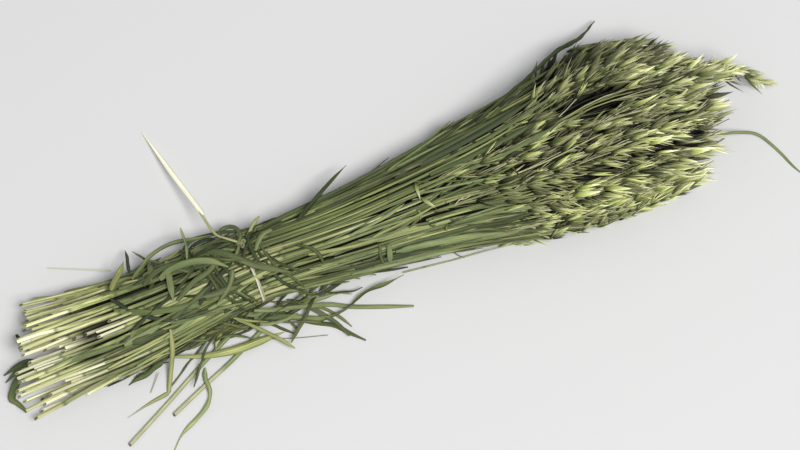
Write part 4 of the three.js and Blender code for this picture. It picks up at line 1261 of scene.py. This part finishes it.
SMALL_LEAVES = [  # paint, width, share of the light, points
    ("dark", 4.5, 1.0, [[-193.5, -15.3, 24], [-205.5, -6.4, 12], [-226.5, -8.8, 4]]),
    ("dark", 4, 1.0, [[-197.2, -17.8, 22], [-208.3, -8.8, 10], [-227.2, -15, 3]]),
    ("dark", 3, 0.4, [[-204.8, 18.5, 14], [-203.1, 13.6, 15], [-195.1, 10.7, 17], [-188.4, 13.7, 20]]),
    ("yellow", 5.5, 1.1, [[-181.4, 42.9, 12], [-156, 33.3, 18], [-127, 25.6, 28], [-93.8, 17, 42]]),
    ("yellow", 5, 0.7, [[-154.6, 36.8, 18], [-125.6, 29.1, 28], [-92.3, 20.9, 40]]),
    ("dark", 2.5, 0.8, [[-49.9, 31, 35], [-51, 24, 39], [-52.3, 17.9, 42]]),
    ("dark", 2.5, 0.8, [[-43.2, 29.3, 36], [-45, 23, 40], [-47.8, 15.6, 43]]),
    ("sage", 6, 1.0, [[-65.2, 24.5, 39], [-68.9, 6, 45.5], [-72.3, -11.7, 44]]),
    ("sage", 5.5, 0.9, [[-77.7, 34.5, 25], [-80, 24, 38], [-83.7, 10.1, 44.5]]),
    ("sage", 3, 0.7, [[42.1, -4.4, 44.3], [51.9, -12.1, 47], [56.7, -20.8, 46], [57, -27, 39.9]]),
    ("yellow", 3, 1.1, [[33.3, -31.2, 6], [36.4, -37.5, 4], [38.6, -43.4, 2]]),
    ("sage", 5.5, 1.0, [[-183.4, -29.2, 44], [-153.9, -30.7, 45.5], [-122.3, -31.8, 44]]),
    ("dark", 2.5, 0.8, [[-151.7, -48.5, 5], [-143.9, -47.1, 6], [-137.3, -46.6, 8]]),
    ("sage", 2.5, 0.8, [[106.9, -30.2, 45.2], [104.9, -37.5, 39.5], [105.7, -42.5, 29]]),
    ("sage", 5.5, 1.0, [[114.1, -32.7, 44.7], [112.5, -39.2, 38.5], [111, -42.9, 29]]),
    ("sage", 4, 1.0, [
        [-17.1, 28.4, 32.2], [-11.3, 38.5, 25], [-3.3, 37.8, 27], [1, 27.9, 38], [-1.1, 18, 46],
        [-7.2, 14.2, 44.2]]),
    ("dark", 3.5, 0.8, [
        [-50.7, 19.7, 39.2], [-47, 33.7, 25], [-38.6, 38.7, 26], [-25.2, 38, 26], [-11.5, 35.7, 27],
        [2.8, 27.9, 36], [22.3, 28.6, 34]]),
    ("dark", 3.5, 0.6, [
        [-43, 13.7, 42.1], [-42.6, 28.6, 33], [-33.8, 34.8, 26], [-21.6, 33.1, 27], [-18, 19.3, 42]]),
    ("sage", 6.5, 1.0, [
        [-76.4, 10.2, 43], [-63.7, 14.6, 45], [-45.7, 14, 46], [-29.7, 8, 46], [-18.7, -1, 44]]),
    ("sage", 5.5, 0.8, [[-91.1, 10.1, 43], [-77.1, 17.6, 43], [-60.3, 18.6, 43], [-38.8, 13, 43]]),
    ("dark", 3, 0.7, [[-86.7, 16.6, 42], [-76.4, 28.8, 33], [-67.7, 34.5, 24]]),
    ("sage", 5, 1.0, [[-69.1, -12.9, 43], [-50.6, -3, 45], [-34, 2, 45], [-17.8, 15.1, 43]]),
    ("dark", 3, 0.6, [[15.9, 28.6, 34], [5, 15.1, 46], [5.3, -0.5, 47], [9.3, -13.4, 44]]),
    ("dark", 2.5, 0.6, [[-6.7, -3, 44], [0.8, 9, 47], [14.3, 17.6, 44]]),
    ("sage", 3, 0.8, [[-13.9, 1.9, 44], [-4.7, 11.2, 47], [-1.5, 23.9, 39]]),
    ("dark", 4, 0.9, [[168.2, 9.1, 56], [204.9, 9.5, 63], [246.8, 11.4, 71], [285.3, 16.3, 76]]),
    ("sage", 3.5, 0.8, [[184.7, 16.2, 58], [222, 18, 66], [265.9, 25, 74], [295.6, 30.9, 77]]),
    ("dark", 4.5, 0.8, [[163.6, 20.8, 55], [201, 22.9, 63], [239.4, 27.4, 70], [274.6, 35.6, 72]]),
    ("sage", 3.5, 0.9, [[200.8, -0.8, 61], [237.4, -0.7, 69], [275.5, 3.1, 76], [308.7, 6.1, 78]]),
    ("dark", 4, 0.8, [[145.8, 22, 53], [184.1, 26.3, 58], [222.3, 30.4, 64], [260.6, 34.7, 68]]),
]
for kind, width, light, points in SMALL_LEAVES:
    roll = rng.normal(0, 0.2, 2)
    blade(lying[kind], points, width, roll=roll, fold=0.5, ruffle=0.2, ends=(0.7, 0.25), steps=SHRED_STEPS,
          tint=(rng.uniform(0.2, 0.8), 0.3), light=light)
for kind, pile in lying.items():
    pile.build(f"leaves_{kind}", *LEAF_PAINTS[kind])

# Fibres, twigs and single spikelets that lie loose
THREADS = [  # radius, own colour number, share of the light, points
    (0.35, 0.0, 1.3, [[-160.2, 68.8, 2], [-134.9, 56.5, 4], [-110.7, 43.7, 10]]),
    (0.3, 1.0, 0.6, [[-12.2, -58.5, 3], [14.2, -68, 3], [41.5, -75.3, 1.5]]),
    (0.4, 0.3, 0.9, [[-104.1, -55.1, 6], [-110.2, -61.3, 3], [-116.4, -67.7, 1]]),
    (1.1, 0.1, 1.1, [[113.8, -35.8, 9], [156.6, -43.1, 8], [199.5, -50.4, 8], [234.4, -54.5, 8]]),
    (0.5, 1.0, 0.7, [[167.3, -43.9, 4], [170.5, -49.6, 3], [175.2, -53.8, 1.5]]),
    (0.3, 0.0, 1.3, [[177.8, -24.2, 57.1], [181, -22.5, 59], [186.1, -21.9, 60.4]]),
    (0.3, 0.0, 1.3, [[181.8, -21.2, 57.7], [187, -23, 60], [192.1, -22.7, 61.4]]),
    (0.7, 1.0, 0.6, [[366, 56, 40], [379.2, 57.2, 47], [386.9, 58.3, 52]]),
]
THREAD_RINGS = 9
threads = Pile()
for radius, own, light, points in THREADS:
    line = curve_through(points, THREAD_RINGS)[None]
    tint = np.broadcast_to(np.array([own, 0, 0, light]), (1, THREAD_RINGS, 4))
    along = np.linspace(0, 0.5, THREAD_RINGS)[None]
    tubes(threads, line, np.full((1, THREAD_RINGS), radius), 5, tint, along)
threads.build("loose_threads", PALE_STRAW, "pale_straw")

LOOSE_SPIKELETS = [  # where each starts and the way it points
    [[153.8, 7.3, 56], [-0.1, -1, 0.05]],
    [[153, -6, 55.5], [0.6, -1, 0.1]],
    [[432, 1, 52], [0.5, 0.5, 0.7]],
    [[434, 5, 52], [0.7, 0.7, 0.3]],
    [[430, 8, 50], [0.35, 0.9, 0.4]],
    [[436, 0, 52], [0.9, 0.2, 0.5]],
    [[438, -4, 50], [0.9, 0.5, 0.2]],
    [[440, 3, 50], [1, 0.1, 0.3]],
    [[455, -2, 38], [0.8, -0.55, -0.1]],
    [[460, -3, 34], [0.9, -0.2, 0.1]],
    [[464, -4, 29], [0.85, -0.5, -0.1]],
    [[468, -5, 25], [0.9, -0.35, 0]],
    [[471, -6, 22], [0.85, -0.45, -0.2]],
]
THIN_SPIKELETS = [
    [[203, -53.5, 5], [1, 0.25, 0]],
    [[206, -56.5, 5], [1, -0.1, 0]],
    [[215, -58, 4], [1, 0.15, 0]],
    [[219, -59, 4], [1, -0.35, 0]],
    [[228, -60, 4], [1, 0, 0]],
    [[226, -62, 4], [1, -0.3, 0]],
]


def place_spikelets(name, slot, sites, length, own, pale, nodes=()):
    """Single spikelets, each of the next form."""
    pile = Pile()
    starts, ways = np.moveaxis(np.array(sites, float), 1, 0)
    ways = unit(ways)
    sides = unit(np.cross(UP, ways))
    numbers = [np.full(1, value) for value in (length, 1.3, own, pale, 1.0)]
    for k, (start, way, side) in enumerate(zip(starts, ways, sides)):
        stamp(pile, *FORMS[k % len(FORMS)], start[None], way[None], side[None], *numbers)
    pile.build(name, HUSK, slot, nodes)


place_spikelets("loose_spikelets", "oat_straw", LOOSE_SPIKELETS, 17.0, 0.2, 0.7)
place_spikelets("thin_stalk_spikelets", "pale_straw", THIN_SPIKELETS, 14.0, 0.3, 0.8, ["loose_stalk_thin"])

# Loose stems, hollow at their first end, and the thin loose stalk
LOOSE_STEMS = {
    "loose_stem_long": [[-148.2, -104.2, 2.2], [-106, -82, 2.2], [-63.5, -58.8, 2.2], [-24, -39.5, 2.4]],
    "loose_stem_short": [[-104.6, -93.4, 2.1], [-74, -80, 2.1], [-43, -67, 2.1], [-10, -51, 2.1]],
}
LOOSE_RINGS, LOOSE_SIDES = 26, 10
LOOSE_HOLLOW = {"depth": 8.0, "radii": np.array([0.5, 0.6]), "slant": 0.8}
LOOSE_RADIUS, LOOSE_SHEATH = 1.75, 0.15
SHEATH_STARTS = (0.55, 0.57)  # shares of the loose stem's length


def loose_stem(name, points):
    line = curve_through(points, LOOSE_RINGS)
    tangent = unit(np.gradient(line, axis=0))
    sheathed = smooth_step(np.linspace(0, 1, LOOSE_RINGS), *SHEATH_STARTS)
    radius = LOOSE_RADIUS + LOOSE_SHEATH * sheathed
    tint = np.stack([np.full(LOOSE_RINGS, 0.3), sheathed, np.zeros(LOOSE_RINGS), np.ones(LOOSE_RINGS)], -1)
    centres = turned_in(line, line[0] + tangent[0] * LOOSE_HOLLOW["depth"])
    radii = np.concatenate([LOOSE_HOLLOW["radii"] * radius[0], radius])
    steps = np.concatenate([[0], np.cumsum(np.linalg.norm(np.diff(line, axis=0), axis=1))])
    along = turned_in(steps, LOOSE_HOLLOW["depth"]) / 100
    slants = np.zeros(len(centres))
    slants[1:3] = LOOSE_HOLLOW["slant"]
    pile = Pile()
    tubes(pile, centres[None], radii[None], LOOSE_SIDES, turned_in(tint, tint[0])[None], along[None],
          slant=slants[None], tangent=turned_in(tangent, tangent[0])[None])
    pile.build(name.replace("loose_", "fallen_"), PALE_STRAW, "pale_straw", [name])


for name, points in LOOSE_STEMS.items():
    loose_stem(name, points)

THIN_COURSE = {"y": -46.8, "slope": -0.118, "curve": -0.0001, "low": 1.4, "rise": 4, "from": 165, "over": 30}


class ThinStalk(Stalk):
    """The thin loose stalk with a poor panicle."""

    def __init__(self):
        self.cut, self.neck, self.tip = 122.0, 180.0, 238.0
        self.number, self.member, self.phase, self.own = 0, 0, 0.6, 0.4
        self.strays, self.light = False, 1.0
        self.joints, self.sheaths = np.array([140.0]), np.array([150.0])

    def at(self, x):
        x = np.asarray(x, float)
        run = x - self.cut
        y = THIN_COURSE["y"] + THIN_COURSE["slope"] * run + THIN_COURSE["curve"] * run**2
        risen = np.clip((x - THIN_COURSE["from"]) / THIN_COURSE["over"], 0, 1)
        return np.stack([x, y, THIN_COURSE["low"] + THIN_COURSE["rise"] * risen], -1)

    def radius(self, x):
        return np.interp(x, [self.cut, self.neck, self.tip], [0.8, 0.6, 0.3])


pile = Pile()
stem_mesh(pile, [ThinStalk()])
pile.build("thin_stalk", PALE_STRAW, "pale_straw", ["loose_stalk_thin"])

# The tie: a strip of two strands round the waist, its knot and its tail
BAND_SLACK = 0.3
BAND_RINGS = 49
STRANDS = [(-0.4, 2.1, 0.1), (0.9, 1.1, 0.6)]  # place along the bundle, width and own colour number
TAIL = {  # width, own colour number, light, points
    "green": (2.6, 0.95, 0.9, [[-1, 14, 45.6], [-11, 23, 44], [-18, 32, 38], [-23, 59, 29], [-26, 74, 24.6]]),
    "white": (4.6, 0.0, 1.38, [[-21.5, 55, 30.4], [-25, 72, 25.5], [-31, 100, 17.2], [-42, 155.6, 1]]),
}
TAIL_SIDE = unit(np.array([-0.80, -0.21, -0.17]))
KNOT = {"at": np.array([-1, 14, 45.5]), "size": 1.7, "rings": 9}


def band_line(count):
    """Points of the tie's inner face round the stems at the waist, from its top."""
    centres = np.array([s.at(0.0)[1:] for s in stalks])
    radii = np.array([s.radius(np.array(0.0)) for s in stalks])
    bearing = np.pi / 2 + np.linspace(0, 2 * np.pi, count)
    way = np.stack([np.cos(bearing), np.sin(bearing)], -1)
    support = (centres @ way.T + radii[:, None]).max(0) + BAND_SLACK
    slope = np.gradient(support, bearing)
    turned_way = np.stack([-np.sin(bearing), np.cos(bearing)], -1)
    out = way * support[:, None] + turned_way * slope[:, None]
    return np.stack([0.6 * np.sin(3 * bearing), out[:, 0], np.maximum(out[:, 1], 0.5)], -1)


def knot_line():
    """Points of a trefoil, the strip's course in the knot."""
    t = np.linspace(0, 2 * np.pi, KNOT["rings"])
    x, y = np.sin(t) + 1.4 * np.sin(2 * t), np.cos(t) - 1.4 * np.cos(2 * t)
    return KNOT["at"] + KNOT["size"] * np.stack([x, y, -0.55 * np.sin(3 * t)], -1)


tie = Pile()
ring = band_line(BAND_RINGS)
for k, (shift, width, own) in enumerate(STRANDS):
    along = shift + 0.3 * np.sin(np.arange(BAND_RINGS) * 0.7 + 2 * k)
    blade(tie, ring + along[:, None] * [1, 0, 0], width, fold=0.4, ruffle=0.12, side=(-1, 0, 0), steps=96,
          ends=(1, 1), tint=(own, 0.5), floor=0.0)
for width, own, light, points in TAIL.values():
    blade(tie, points, width, fold=0.6, side=TAIL_SIDE, ends=(0.6, 0.3), taper=(0.06, 0.3), steps=30,
          tint=(own, 0.1), light=light)
blade(tie, knot_line(), 2.0, fold=0.7, steps=44, ends=(1, 1), tint=(1.0, 0.3), light=0.5)
tie.build("tie_strip", RAFFIA, "raffia", ["tie"])
